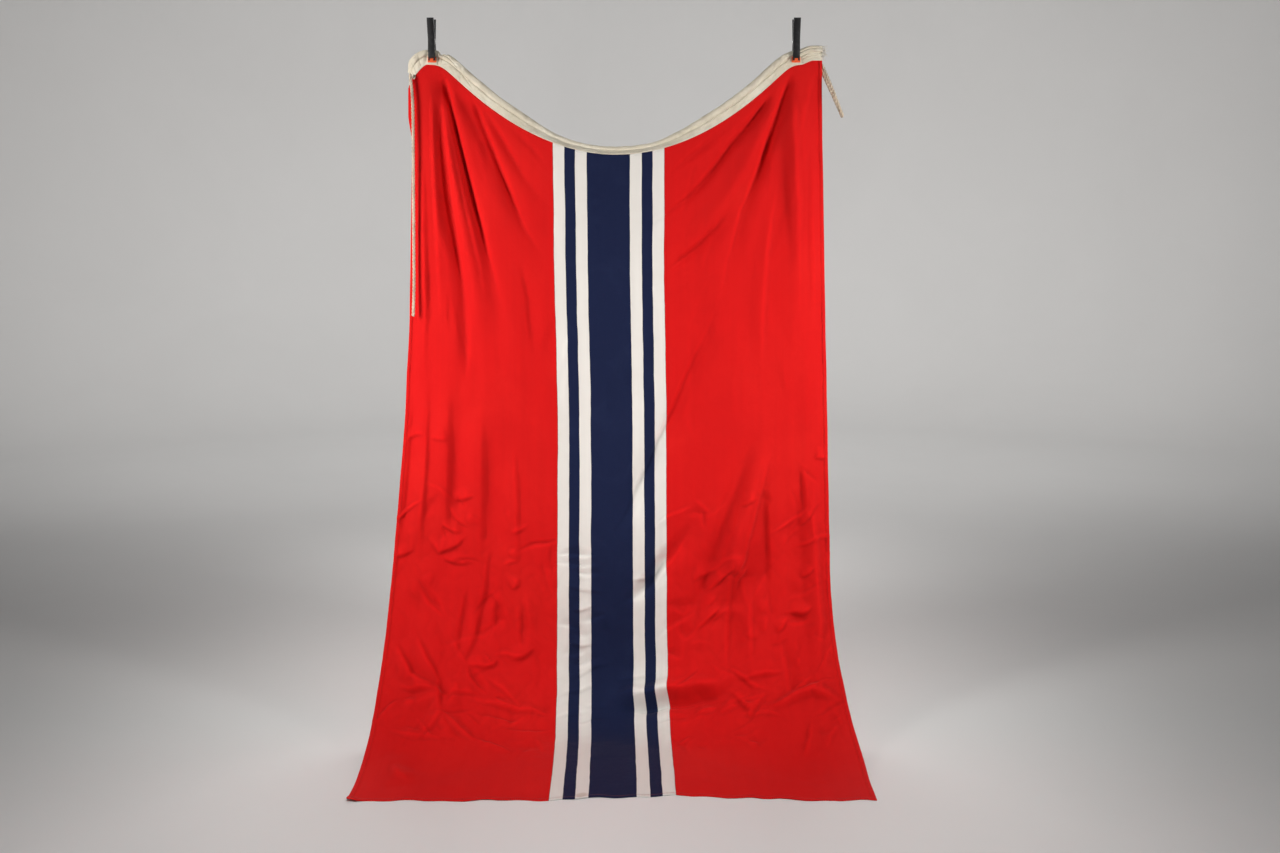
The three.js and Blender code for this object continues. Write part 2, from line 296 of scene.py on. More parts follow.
def make_woven_threads():
    """Warp and weft that pass over each other, with a slight unevenness in the threads."""
    group, given, out = new_group(
        "woven_threads",
        [("Coordinates", "NodeSocketVector", None), ("Threads", "NodeSocketFloat", 1200.0)],
        ["Height", "Slubs"],
    )
    place = new_node(group, "ShaderNodeSeparateXYZ", Vector=(given, "Coordinates"))
    turns = sum_node(group, "MULTIPLY", (given, "Threads"), math.pi)
    waves = []
    for axis in ("X", "Y"):
        angle = sum_node(group, "MULTIPLY", (place, axis), turns)
        waves.append(sum_node(group, "SINE", angle))
    over = sum_node(group, "MULTIPLY", *waves)
    stretched = new_node(group, "ShaderNodeMapping", Vector=(given, "Coordinates"), Scale=(1.0, 0.06, 1.0))
    slubs = new_node(group, "ShaderNodeTexNoise", Vector=(stretched, 0), Scale=420.0, Detail=3.0)
    crossed = new_node(group, "ShaderNodeMapping", Vector=(given, "Coordinates"), Scale=(0.06, 1.0, 1.0))
    weft = new_node(group, "ShaderNodeTexNoise", Vector=(crossed, 0), Scale=460.0, Detail=3.0)
    uneven = sum_node(group, "ADD", (slubs, 0), (weft, 0))
    height = sum_node(group, "ADD", over, uneven)
    feed(group, out.inputs["Height"], height)
    feed(group, out.inputs["Slubs"], uneven)
    return group


def make_worn_patches():
    """Soft-edged patches, where a surface has faded, been handled or taken up dirt."""
    group, given, out = new_group(
        "worn_patches",
        [
            ("Coordinates", "NodeSocketVector", None),
            ("Scale", "NodeSocketFloat", 5.0),
            ("Start", "NodeSocketFloat", 0.5),
            ("End", "NodeSocketFloat", 0.7),
        ],
        ["Mask"],
    )
    cloud = new_node(group, "ShaderNodeTexNoise", Vector=(given, "Coordinates"), Scale=(given, "Scale"),
                     Detail=6.0, Roughness=0.62, Distortion=0.4)
    mask = spread_over(group, (cloud, 0), (given, "Start"), (given, "End"))
    feed(group, out.inputs["Mask"], mask)
    return group


def make_fine_grain():
    """The fine pebbled texture of a moulded surface."""
    group, given, out = new_group(
        "fine_grain",
        [("Coordinates", "NodeSocketVector", None), ("Scale", "NodeSocketFloat", 900.0)],
        ["Height"],
    )
    pebbles = new_node(group, "ShaderNodeTexVoronoi", Vector=(given, "Coordinates"), Scale=(given, "Scale"))
    cloud = new_node(group, "ShaderNodeTexNoise", Vector=(given, "Coordinates"), Scale=160.0, Detail=4.0)
    height = sum_node(group, "ADD", (pebbles, 0), (cloud, 0))
    feed(group, out.inputs["Height"], height)
    return group


def make_stitch_row():
    """A row of stitches: a mask of dashes of a given pitch, on a line a given width across."""
    group, given, out = new_group(
        "stitch_row",
        [
            ("Off the line", "NodeSocketFloat", 0.0),
            ("Along", "NodeSocketFloat", 0.0),
            ("Pitch", "NodeSocketFloat", 0.004),
            ("Width", "NodeSocketFloat", 0.0012),
        ],
        ["Mask"],
    )
    off = sum_node(group, "ABSOLUTE", (given, "Off the line"))
    inside = sum_node(group, "LESS_THAN", off, (given, "Width"))
    part = sum_node(group, "FRACT", sum_node(group, "DIVIDE", (given, "Along"), (given, "Pitch")))
    dash = sum_node(group, "LESS_THAN", part, 0.7)
    mask = sum_node(group, "MULTIPLY", inside, dash)
    feed(group, out.inputs["Mask"], mask)
    return group


WOVEN = make_woven_threads()
WORN = make_worn_patches()
GRAIN = make_fine_grain()
STITCHES = make_stitch_row()


def use(tree, group, **inputs):
    """Places a shared group in a material."""
    node = tree.nodes.new("ShaderNodeGroup")
    node.node_tree = group
    return feed_inputs(tree, node, inputs)


def new_finish(name, roughness, **settings):
    """A material with its node tree and its shader; settings are constants on the shader's sockets."""
    material = bpy.data.materials.new(name)
    material.use_nodes = True
    tree = material.node_tree
    shader = next(n for n in tree.nodes if n.type == "BSDF_PRINCIPLED")
    feed_inputs(tree, shader, {"Roughness": roughness, **settings})
    return material, tree, shader


def bumped(tree, shader, height, distance, strength, under=None):
    """Gives the shader a bump, laid over another bump where one is named."""
    bump = new_node(tree, "ShaderNodeBump", Height=height, Distance=distance, Strength=strength)
    if under is not None:
        feed(tree, bump.inputs["Normal"], (under, 0))
    feed(tree, shader.inputs["Normal"], (bump, 0))
    return bump


def wear(tree, shader, where, patches, fresh, worn, dulling=None):
    """Colours a finish from fresh to worn in soft patches, with its roughness if a range is given."""
    scale, start, end = patches
    mask = use(tree, WORN, Coordinates=where, Scale=scale, Start=start, End=end), 0
    feed(tree, shader.inputs["Base Color"], mixed(tree, mask, fresh, worn))
    if dulling is not None:
        feed(tree, shader.inputs["Roughness"], spread_over(tree, mask, 0.0, 1.0, *dulling))


NAVY = (0.0068, 0.0118, 0.043, 1)
NAVY_WORN = (0.020, 0.030, 0.082, 1)
BONE = (0.68, 0.66, 0.62, 1)
BONE_SOILED = (0.50, 0.45, 0.37, 1)
RED = (0.575, 0.0055, 0.0055, 1)
RED_FADED = (0.66, 0.012, 0.009, 1)
RED_DEEP = (0.42, 0.0035, 0.0045, 1)

SEAM_SHADE = (0.10, 0.006, 0.010, 1)
HEM_THREAD = (0.30, 0.014, 0.012, 1)
STAIN = (0.33, 0.22, 0.12, 1)
STAIN_AT = (-0.088, 2.474, 0)  # one brown stain on a white stripe at the foot

# The stripe band from its middle outwards: where each colour ends, the colour and the next one
STRIPE_REACH = 0.25
STRIPE_STOPS = [(0.069, NAVY, BONE), (0.107, BONE, NAVY), (0.142, NAVY, BONE), (BAND_HALF, BONE, RED)]
STRIPE_SOFT = 0.0007
WHITE_MIDDLES = (0.088, 0.161)
WHITE_HALF = 0.019
WANDER = 0.006  # how far a stripe's edge strays from its line
HEM_ROW_IN = 0.0135  # the hem's stitches, in from the cloth's edge
HEM_PITCH = 0.0042
HEM_LINE = 0.0007


def flag_places(tree, flat):
    """The place on the cloth as separate numbers, and how far it is from the middle of the stripe band."""
    place = new_node(tree, "ShaderNodeSeparateXYZ", Vector=(flat, 0))
    wander = new_node(tree, "ShaderNodeTexNoise", Vector=(flat, 0), Scale=7.0, Detail=3.0)
    shifted = sum_node(tree, "MULTIPLY_ADD", (wander, 0), WANDER, (place, 0))
    return place, sum_node(tree, "ABSOLUTE", sum_node(tree, "SUBTRACT", shifted, WANDER / 2))


def hem_stitches(tree, place):
    """A mask of the rows of stitches along the side hems and the foot hem."""
    side_line = sum_node(tree, "SUBTRACT", sum_node(tree, "ABSOLUTE", (place, 0)), HALF - HEM_ROW_IN)
    foot_line = sum_node(tree, "SUBTRACT", (place, 1), FLAG_LENGTH - HEM_ROW_IN)
    rows = [(use(tree, STITCHES, Off_the_line=line, Along=(place, along), Pitch=HEM_PITCH, Width=HEM_LINE), 0)
            for line, along in ((side_line, 1), (foot_line, 0))]
    return sum_node(tree, "MAXIMUM", *rows)


def flag_colour(tree, flat, off_middle):
    """Navy and white stripes and red cloth, each with its own fading and dirt."""
    stripes = new_node(tree, "ShaderNodeValToRGB", Fac=sum_node(tree, "DIVIDE", off_middle, STRIPE_REACH))
    stops = stripes.color_ramp
    stops.elements[0].color = NAVY
    stops.elements[1].color = RED
    for edge, before, after in STRIPE_STOPS:
        stops.elements.new((edge - STRIPE_SOFT) / STRIPE_REACH).color = before
        stops.elements.new((edge + STRIPE_SOFT) / STRIPE_REACH).color = after

    # Masks tell the parts of the band apart.
    is_red = spread_over(tree, off_middle, BAND_HALF - 0.0005, BAND_HALF + 0.0005)
    whites = [sum_node(tree, "COMPARE", off_middle, middle, WHITE_HALF) for middle in WHITE_MIDDLES]
    is_white = sum_node(tree, "MAXIMUM", *whites)

    faded = use(tree, WORN, Coordinates=(flat, 0), Scale=2.6, Start=0.47, End=0.72)
    deep = use(tree, WORN, Coordinates=place_on(tree, flat, (0.7, 0.2, 4.0)), Scale=3.4, Start=0.5, End=0.78)
    soiled = use(tree, WORN, Coordinates=place_on(tree, flat, (3.0, 5.0, 9.0)), Scale=9.0, Start=0.52, End=0.85)
    red = mixed(tree, (faded, 0), RED, RED_FADED)
    red = partly(tree, 0.45, (deep, 0), red, RED_DEEP)
    white = partly(tree, 0.30, (soiled, 0), BONE, BONE_SOILED)
    navy = partly(tree, 0.5, (soiled, 0), NAVY, NAVY_WORN)
    stain_off = tree.nodes.new("ShaderNodeVectorMath")
    stain_off.operation = "DISTANCE"
    feed(tree, stain_off.inputs[0], (flat, 0))
    feed(tree, stain_off.inputs[1], STAIN_AT)
    stain = spread_over(tree, (stain_off, "Value"), 0.022, 0.012)
    white = partly(tree, 0.75, stain, white, STAIN)

    colour = mixed(tree, is_red, mixed(tree, is_white, navy, white), red)
    colour = mixed(tree, 0.55, colour, (stripes, 0))
    off_seam = sum_node(tree, "ABSOLUTE", sum_node(tree, "SUBTRACT", off_middle, BAND_HALF + 0.0003))
    return partly(tree, 0.55, spread_over(tree, off_seam, 0.0014, 0.0004), colour, SEAM_SHADE)


def make_flag_finish():
    """Wool-like bunting: striped, faded and soiled, with a weave, stitched hems and fine crumpling."""
    material, tree, shader = new_finish(
        "flag_bunting", 0.88, Sheen_Weight=0.05, Sheen_Roughness=0.4, Specular_IOR_Level=0.12,
        Sheen_Tint=(1.0, 0.80, 0.76, 1),
    )
    flat = flat_cut(tree)
    place, off_middle = flag_places(tree, flat)
    colour = flag_colour(tree, flat, off_middle)
    streaks = new_node(tree, "ShaderNodeTexNoise", Vector=place_on(tree, flat, (0, 0, 2), (1, 0.05, 1)),
                       Scale=46.0, Detail=4.0)
    colour = shaded(tree, colour, spread_over(tree, (streaks, 0), 0.3, 0.7, 0.975, 1.02))
    # Painted shade darkens the bottoms of creases; ridges are lightened, partly as wear and partly as a painted
    # highlight.
    shade_and_wear = tree.nodes.new("ShaderNodeAttribute")
    shade_and_wear.attribute_name = "CreaseShadeAndWear"
    colour = shaded(tree, colour, spread_over(tree, (shade_and_wear, "Fac"), -1.0, 1.0, 0.84, 1.13))
    stitched = hem_stitches(tree, place)
    feed(tree, shader.inputs["Base Color"], partly(tree, 0.6, stitched, colour, HEM_THREAD))

    threads = use(tree, WOVEN, Coordinates=(flat, 0), Threads=1300.0)
    weave = bumped(tree, shader, (threads, "Height"), 0.00010, 0.55)
    soft = new_node(tree, "ShaderNodeTexNoise", Vector=(flat, 0), Scale=55.0, Detail=4.0, Roughness=0.5,
                    Distortion=0.8)
    rumple = bumped(tree, shader, (soft, 0), 0.0016, 0.5, weave)
    ridges = new_node(tree, "ShaderNodeTexNoise", Vector=(flat, 0), Scale=9.0, Detail=3.0, Roughness=0.5,
                      Distortion=0.5)
    ridges.noise_type = "RIDGED_MULTIFRACTAL"
    lower = spread_over(tree, (place, 1), 1.0, 1.6, 0.35, 1.0)
    lying = spread_over(tree, (place, 1), 2.0, 2.2, 1.0, 0.3)
    creased = sum_node(tree, "MULTIPLY", sum_node(tree, "MULTIPLY", lower, lying), (ridges, 0))
    crumple = bumped(tree, shader, creased, 0.0060, 0.7, rumple)
    bumped(tree, shader, stitched, 0.0005, 0.8, crumple)
    feed(tree, shader.inputs["Roughness"], spread_over(tree, (threads, "Slubs"), 0.6, 1.4, 0.80, 0.93))
    return material


CREAM = (0.66, 0.60, 0.475, 1)
CREAM_PALE = (0.76, 0.715, 0.60, 1)
CREAM_GREY = (0.42, 0.365, 0.27, 1)
THREAD_PALE = (0.70, 0.66, 0.58, 1)
THREAD_GREY = (0.46, 0.41, 0.33, 1)
COTTON = (0.60, 0.50, 0.38, 1)
COTTON_GREY = (0.40, 0.32, 0.235, 1)
BLACK = (0.0075, 0.0075, 0.0085, 1)
BLACK_SCUFFED = (0.030, 0.030, 0.032, 1)
ORANGE = (0.88, 0.125, 0.030, 1)
ORANGE_GRIMY = (0.52, 0.060, 0.020, 1)
BRIGHT_STEEL = (0.56, 0.56, 0.57, 1)
DULL_STEEL = (0.27, 0.255, 0.24, 1)
FLOOR_PALE = (0.70, 0.695, 0.685, 1)
FLOOR_WORN = (0.67, 0.665, 0.655, 1)


def make_canvas_finish():
    """Cream canvas with paler and greyer patches and an open weave."""
    material, tree, shader = new_finish(
        "heading_canvas", 0.92, Sheen_Weight=0.12, Sheen_Roughness=0.5, Specular_IOR_Level=0.25)
    flat = flat_cut(tree)
    pale = use(tree, WORN, Coordinates=(flat, 0), Scale=11.0, Start=0.45, End=0.72)
    grimy = use(tree, WORN, Coordinates=place_on(tree, flat, (2.0, 7.0, 1.0)), Scale=26.0, Start=0.5, End=0.8)
    colour = mixed(tree, (pale, 0), CREAM, CREAM_PALE)
    colour = partly(tree, 0.6, (grimy, 0), colour, CREAM_GREY)
    threads = use(tree, WOVEN, Coordinates=(flat, 0), Threads=900.0)
    # The weave's low places are painted darker and its high places slightly lighter: painted shade between the
    # threads.
    colour = shaded(tree, colour, spread_over(tree, (threads, "Height"), -0.2, 1.4, 0.86, 1.04))
    feed(tree, shader.inputs["Base Color"], colour)
    bumped(tree, shader, (threads, "Height"), 0.00018, 0.8)
    feed(tree, shader.inputs["Roughness"], spread_over(tree, (threads, "Slubs"), 0.6, 1.4, 0.86, 0.97))
    return material


def make_rope_finish():
    """Cotton rope: fibres that run round each strand, and grey dirt where it has been handled."""
    material, tree, shader = new_finish("hoist_rope", 0.93, Sheen_Weight=0.15, Sheen_Roughness=0.5,
                                        Specular_IOR_Level=0.2)
    flat = flat_cut(tree)
    fibres = new_node(tree, "ShaderNodeTexNoise", Vector=place_on(tree, flat, (0, 0, 0), (1, 0.12, 1)),
                      Scale=1500.0, Detail=3.0)
    worn = use(tree, WORN, Coordinates=(flat, 0), Scale=24.0, Start=0.45, End=0.75)
    colour = mixed(tree, (worn, 0), COTTON, COTTON_GREY)
    colour = shaded(tree, colour, spread_over(tree, (fibres, 0), 0.3, 0.7, 0.80, 1.10))
    feed(tree, shader.inputs["Base Color"], colour)
    bumped(tree, shader, (fibres, 0), 0.0004, 0.7)
    return material


def own_place(tree):
    return tree.nodes.new("ShaderNodeTexCoord"), "Object"


def make_thread_finish():
    material, tree, shader = new_finish("sewing_thread", 0.7, Sheen_Weight=0.2, Sheen_Roughness=0.4)
    own = own_place(tree)
    wear(tree, shader, own, (60.0, 0.4, 0.7), THREAD_PALE, THREAD_GREY)
    twist = new_node(tree, "ShaderNodeTexNoise", Vector=own, Scale=2400.0, Detail=2.0)
    bumped(tree, shader, (twist, 0), 0.0001, 0.6)
    return material


def make_nylon_finish():
    material, tree, shader = new_finish("clamp_nylon", 0.45, Specular_IOR_Level=0.5)
    own = own_place(tree)
    wear(tree, shader, own, (90.0, 0.52, 0.78), BLACK, BLACK_SCUFFED, (0.38, 0.62))
    grain = use(tree, GRAIN, Coordinates=own, Scale=1400.0)
    bumped(tree, shader, (grain, 0), 0.00008, 0.6)
    return material


def make_pad_finish():
    material, tree, shader = new_finish("clamp_pad", 0.6, Specular_IOR_Level=0.45)
    own = own_place(tree)
    wear(tree, shader, own, (120.0, 0.5, 0.8), ORANGE, ORANGE_GRIMY, (0.50, 0.75))
    grain = use(tree, GRAIN, Coordinates=own, Scale=1000.0)
    bumped(tree, shader, (grain, 0), 0.0001, 0.5)
    return material


def make_steel_finish():
    material, tree, shader = new_finish("clamp_steel", 0.3, Metallic=1.0)
    own = own_place(tree)
    wear(tree, shader, own, (150.0, 0.45, 0.75), BRIGHT_STEEL, DULL_STEEL, (0.24, 0.55))
    drawn = new_node(tree, "ShaderNodeTexNoise", Vector=own, Scale=1800.0, Detail=2.0)
    bumped(tree, shader, (drawn, 0), 0.00004, 0.4)
    return material


def make_floor_finish():
    material, tree, shader = new_finish("studio_floor", 0.75, Specular_IOR_Level=0.3)
    wear(tree, shader, own_place(tree), (0.8, 0.3, 0.8), FLOOR_PALE, FLOOR_WORN)
    return material


CANVAS = make_canvas_finish()
THREAD = make_thread_finish()
ROPE_FINISH = make_rope_finish()
NYLON = make_nylon_finish()
PAD_FINISH = make_pad_finish()
STEEL = make_steel_finish()

# ---------------------------------------------------------------- rope

ROPE = 0.010
STRAND = ROPE / 2 / 2.1547  # radius of each of three strands that touch
STRAND_OFF = 1.1547 * STRAND  # how far each strand's middle is off the rope's
LAY = 0.034  # length in which a strand goes once round
ROPE_SIDES = 36
ROPE_STEP = 0.0013
ROPE_BLUNT = 0.0035  # length of the rounded-off end
LINE_EVERY = 12  # every so many steps of the rope's path, a point of its middle line

# The ropes' middle lines, in millimetres
TAIL_ROUTE = [
    (-628, -12, 2050), (-626, -15, 2030), (-623, -17, 2000), (-621, -18, 1960), (-621, -18, 1910),
    (-622, -18, 1850), (-623, -18, 1790), (-624, -18, 1730), (-625, -18, 1670), (-626, -18, 1610),
    (-627, -18, 1550), (-628, -18, 1490), (-629, -19, 1430), (-631, -20, 1370), (-634, -20, 1310),
]
LOOP_ROUTE = [
    (606, 10, 2101), (616, 17, 2086), (628, 20, 2062), (641, 19, 2034), (655, 16, 2004),
    (668, 12, 1976), (679, 7, 1951), (687, 0, 1932), (690, -9, 1923), (689, -19, 1926),
    (683, -27, 1938), (675, -31, 1956), (667, -30, 1976), (659, -25, 1998), (650, -15, 2022),
    (641, -3, 2046), (631, 8, 2070), (619, 13, 2090), (607, 24, 2106),
]


def laid_section(long):
    """The outline of three strands laid together, tapering over the last few millimetres to a bare end."""
    def radius_at(angle, along):
        lobe = (angle - FULL_TURN * along / LAY) % (FULL_TURN / 3) - FULL_TURN / 6
        reach = STRAND_OFF * math.cos(lobe)
        rest = max(0.0, STRAND**2 - (STRAND_OFF * math.sin(lobe))**2)
        end = min(along, long - along)
        blunt = math.sqrt(max(0.02, min(1.0, (end + 0.0004) / ROPE_BLUNT)))
        return (reach + math.sqrt(rest)) * blunt
    return radius_at


def make_rope(name, route, **facts):
    """A laid rope along a route, with its place on the flat map along it and round it."""
    path = spline(np.array(route) * MM + np.array(SHIFT), 40)
    long = float(np.linalg.norm(np.diff(path, axis=0), axis=1).sum())
    even = np.linspace(0, 1, int(long / ROPE_STEP))
    marks = np.concatenate([[0], np.cumsum(np.linalg.norm(np.diff(path, axis=0), axis=1))]) / long
    path = np.stack([np.interp(even, marks, path[:, k]) for k in range(3)], axis=1)
    bm = bmesh.new()
    tube(bm, path, ROPE_SIDES, laid_section(long))
    points = np.array([v.co for v in bm.verts])
    nearest = np.array([np.linalg.norm(path - p, axis=1).argmin() for p in points])
    flat = np.stack([nearest / len(path) * long, 0 * nearest], axis=1)
    out = points - path[nearest]
    flat[:, 1] = np.linalg.norm(out, axis=1) + 0.003 * np.arctan2(out[:, 1], out[:, 0])
    rope = finish_piece(name, bm, ROPE_FINISH, [name.replace("laid_", "")], flat)
    line = path[::LINE_EVERY]
    if (len(path) - 1) % LINE_EVERY:
        line = np.vstack([line, path[-1:]])
    return rope


make_rope("laid_rope_tail", TAIL_ROUTE, far_end="bare", stiffness="limp", lay="hanging")
make_rope("laid_rope_loop", LOOP_ROUTE, far_end="object", stiffness="limp", lay="hanging")

# ---------------------------------------------------------------- the hang of the cloth

HOIST_LOW = 1.807  # the seam's lowest height, in the middle of its sag
HOIST_CURVE = 0.96  # rise of the sag, per metre squared
HOIST_BLEND = 0.012  # how softly the sag runs into the level stretches at the clamps
CLAMP_HEIGHT = 2.079
CORNER_DROOP = 0.050
CORNER_RISE = 0.012
FLOOR_REACH = 0.690  # how far forward the hem lies
BEND_MIDDLE = 0.500  # length of cloth that turns from lying to hanging, in the middle and at the sides
BEND_EDGE = 1.120
SLACK_ENDS = 1.250  # place down the cloth where its slack is used up
TURN_STEPS = 200

turn_angle = (math.pi / 2) * smooth((np.arange(1, TURN_STEPS + 1) - 0.5) / TURN_STEPS)
TURN_FORWARD = np.concatenate([[0], np.cumsum(np.cos(turn_angle)) / TURN_STEPS])
TURN_UP = np.concatenate([[0], np.cumsum(np.sin(turn_angle)) / TURN_STEPS])


def turned(t):
    """Forward and upward travel, per unit of bend, as the cloth turns from lying to hanging."""
    at = clamp01(t) * TURN_STEPS
    steps = np.arange(TURN_STEPS + 1)
    return np.interp(at, steps, TURN_FORWARD), np.interp(at, steps, TURN_UP)


def across(u, v):
    """Place across the hang of a thread that lies at u on the flat cloth: sides and middle, then between."""
    left = -0.622 - 0.036 * clamp01(v / 0.9) - 0.100 * ramp(0.7, 2.1, v)
    right = 0.627 + 0.055 * clamp01(v / 1.5) + 0.062 * ramp(1.5, 2.3, v)
    middle = -0.026 + 0.008 * ramp(0.3, 1.0, v) + 0.012 * ramp(1.6, 2.5, v)
    spacing = 0.96 + 0.04 * ramp(0.8, 2.2, v)
    uneven = ((right + left) / 2 - middle) / HALF**2
    drawn = ((right - left) / 2 - spacing * HALF) / HALF**3
    return middle + spacing * u + uneven * u**2 + drawn * u**3


def hoist_height(x):
    """Height of the hoist seam: a sagging arc, level at the clamps, one corner drooping and one raised."""
    arc = HOIST_LOW + HOIST_CURVE * x**2
    cap = CLAMP_HEIGHT - CORNER_DROOP * ramp(-0.575, -0.640, x) + CORNER_RISE * ramp(0.560, 0.600, x)
    return -HOIST_BLEND * np.log(np.exp(-arc / HOIST_BLEND) + np.exp(-cap / HOIST_BLEND))


def floor_reach(u):
    """How far forward the hem lies at u: drawn back right of the middle, and slightly wavy."""
    drawn_back = 0.034 * np.exp(-(((u - 0.170) / 0.270) ** 2))
    wavy = 0.004 * np.sin(u / 0.041) + 0.003 * np.sin(u / 0.017 + 1)
    return FLOOR_REACH - drawn_back + wavy


def hang(u, v):
    """The cloth's back before its folds: threads that bend forward and run out on the floor."""
    bend = BEND_MIDDLE + (BEND_EDGE - BEND_MIDDLE) * smooth(np.abs(u) / HALF)
    reach = floor_reach(u)
    flat = np.maximum(0, reach - TURN_FORWARD[-1] * bend)
    from_hem = FLAG_LENGTH - v
    forward, up = turned((from_hem - flat) / bend)
    y = -reach + np.minimum(from_hem, flat) + bend * forward
    straight = np.maximum(0, from_hem - flat - bend)
    slack = FLAG_LENGTH - flat - bend + bend * TURN_UP[-1] - hoist_height(across(u, 0 * v))
    z = bend * up + straight - slack * (1 - smooth(v / SLACK_ENDS))
    return np.stack([across(u, v), y, z], axis=-1)


def face_normal(surface, u, v, step=0.001):
    """Unit normals of a surface(u, v), on the side of the cloth's face."""
    along_u = surface(u + step, v) - surface(u - step, v)
    along_v = surface(u, v + step) - surface(u, v - step)
    return unit(np.cross(along_v, along_u))


# ---------------------------------------------------------------- folds and creases

# Soft folds: depth towards the viewer, or upwards on the floor, half width of the soft section, and the
# path (u, v) on the flat cloth. A negative depth is a trough.
CLAMP_FOLDS = [
    # from the left clamp
    (-22, (34, 24), [(-608, 10), (-545, 150), (-490, 290), (-440, 410), (-388, 600), (-350, 760)]),
    (14, 34, [(-620, 60), (-566, 240), (-512, 420), (-458, 640), (-430, 860)]),
    (-17, 30, [(-628, 40), (-596, 250), (-566, 400), (-524, 580), (-490, 780), (-480, 960)]),
    (-15, 34, [(-540, 10), (-410, 130), (-335, 235), (-275, 330), (-180, 430)]),
    (-10, 26, [(-490, 10), (-355, 85), (-250, 170), (-120, 250)]),
    # from the right clamp
    (-13, 30, [(622, 10), (575, 95), (520, 200), (440, 370), (388, 520), (340, 740)]),
    (-12, 34, [(560, 15), (400, 90), (300, 158), (190, 215), (50, 300)]),
    (12, 40, [(600, 60), (470, 180), (330, 300), (200, 380), (60, 460)]),
    (-13, 34, [(575, 90), (430, 290), (300, 370), (150, 440), (20, 540)]),
    (16, 55, [(640, 60), (645, 300), (640, 520), (620, 760), (600, 1000)]),
]
FOLDS = [
    (-15, 50, [(345, 680), (270, 820), (190, 1010), (90, 1200), (-10, 1330)]),
    # side panels
    (6, (60, 40), [(-590, 800), (-578, 1100), (-574, 1300), (-580, 1480)]),
    (-4, 30, [(-540, 960), (-532, 1150), (-530, 1300), (-525, 1450)]),
    (5, (50, 36), [(-470, 860), (-450, 1120), (-446, 1300), (-455, 1500)]),
    (-7, 40, [(-410, 1000), (-400, 1150), (-395, 1350), (-380, 1560), (-378, 1780)]),
    (7, 34, [(-662, 900), (-655, 1150), (-660, 1350), (-672, 1520)]),
    (-12, 40, [(500, 980), (455, 1150), (405, 1290), (345, 1460), (285, 1610), (240, 1740)]),
    (14, 36, [(545, 1060), (490, 1200), (435, 1350), (400, 1500), (385, 1680)]),
    (-12, 28, [(290, 1310), (205, 1420), (130, 1505), (40, 1560)]),
    (-8, 36, [(520, 1180), (508, 1350), (515, 1500), (525, 1680)]),
    (14, 36, [(660, 1180), (682, 1380), (694, 1580), (690, 1760), (650, 1900)]),
    (-9, 36, [(600, 1180), (610, 1380), (600, 1580), (590, 1780)]),
    # where the cloth meets the floor
    (30, 34, [(-60, 1880), (60, 1862), (200, 1866), (330, 1862), (440, 1850)]),
    (-16, 24, [(10, 1915), (130, 1922), (270, 1926), (430, 1898)]),
    (18, 30, [(470, 2010), (570, 1965), (650, 1935), (745, 1990)]),
    (18, 32, [(-730, 1780), (-650, 1880), (-560, 1935), (-450, 1960)]),
    (16, 28, [(-700, 2080), (-640, 1985), (-560, 1950), (-520, 2060), (-480, 2140)]),
    (10, 40, [(-660, 2180), (-640, 2300), (-600, 2400)]),
]
SIDE_CURL = -0.008  # how far the side edges and the middle stand back
MIDDLE_SET = -0.030
# Shares of a fold's length over which it rises at its start and fades at its end
FOLD_ENDS = (0.3, 0.3)
CLAMP_FOLD_ENDS = (0.10, 0.65)
CREASE_ENDS = (0.42, 0.42)
AT_CLAMP = 120  # a crease that starts nearer the heading than this, in millimetres, comes from a clamp

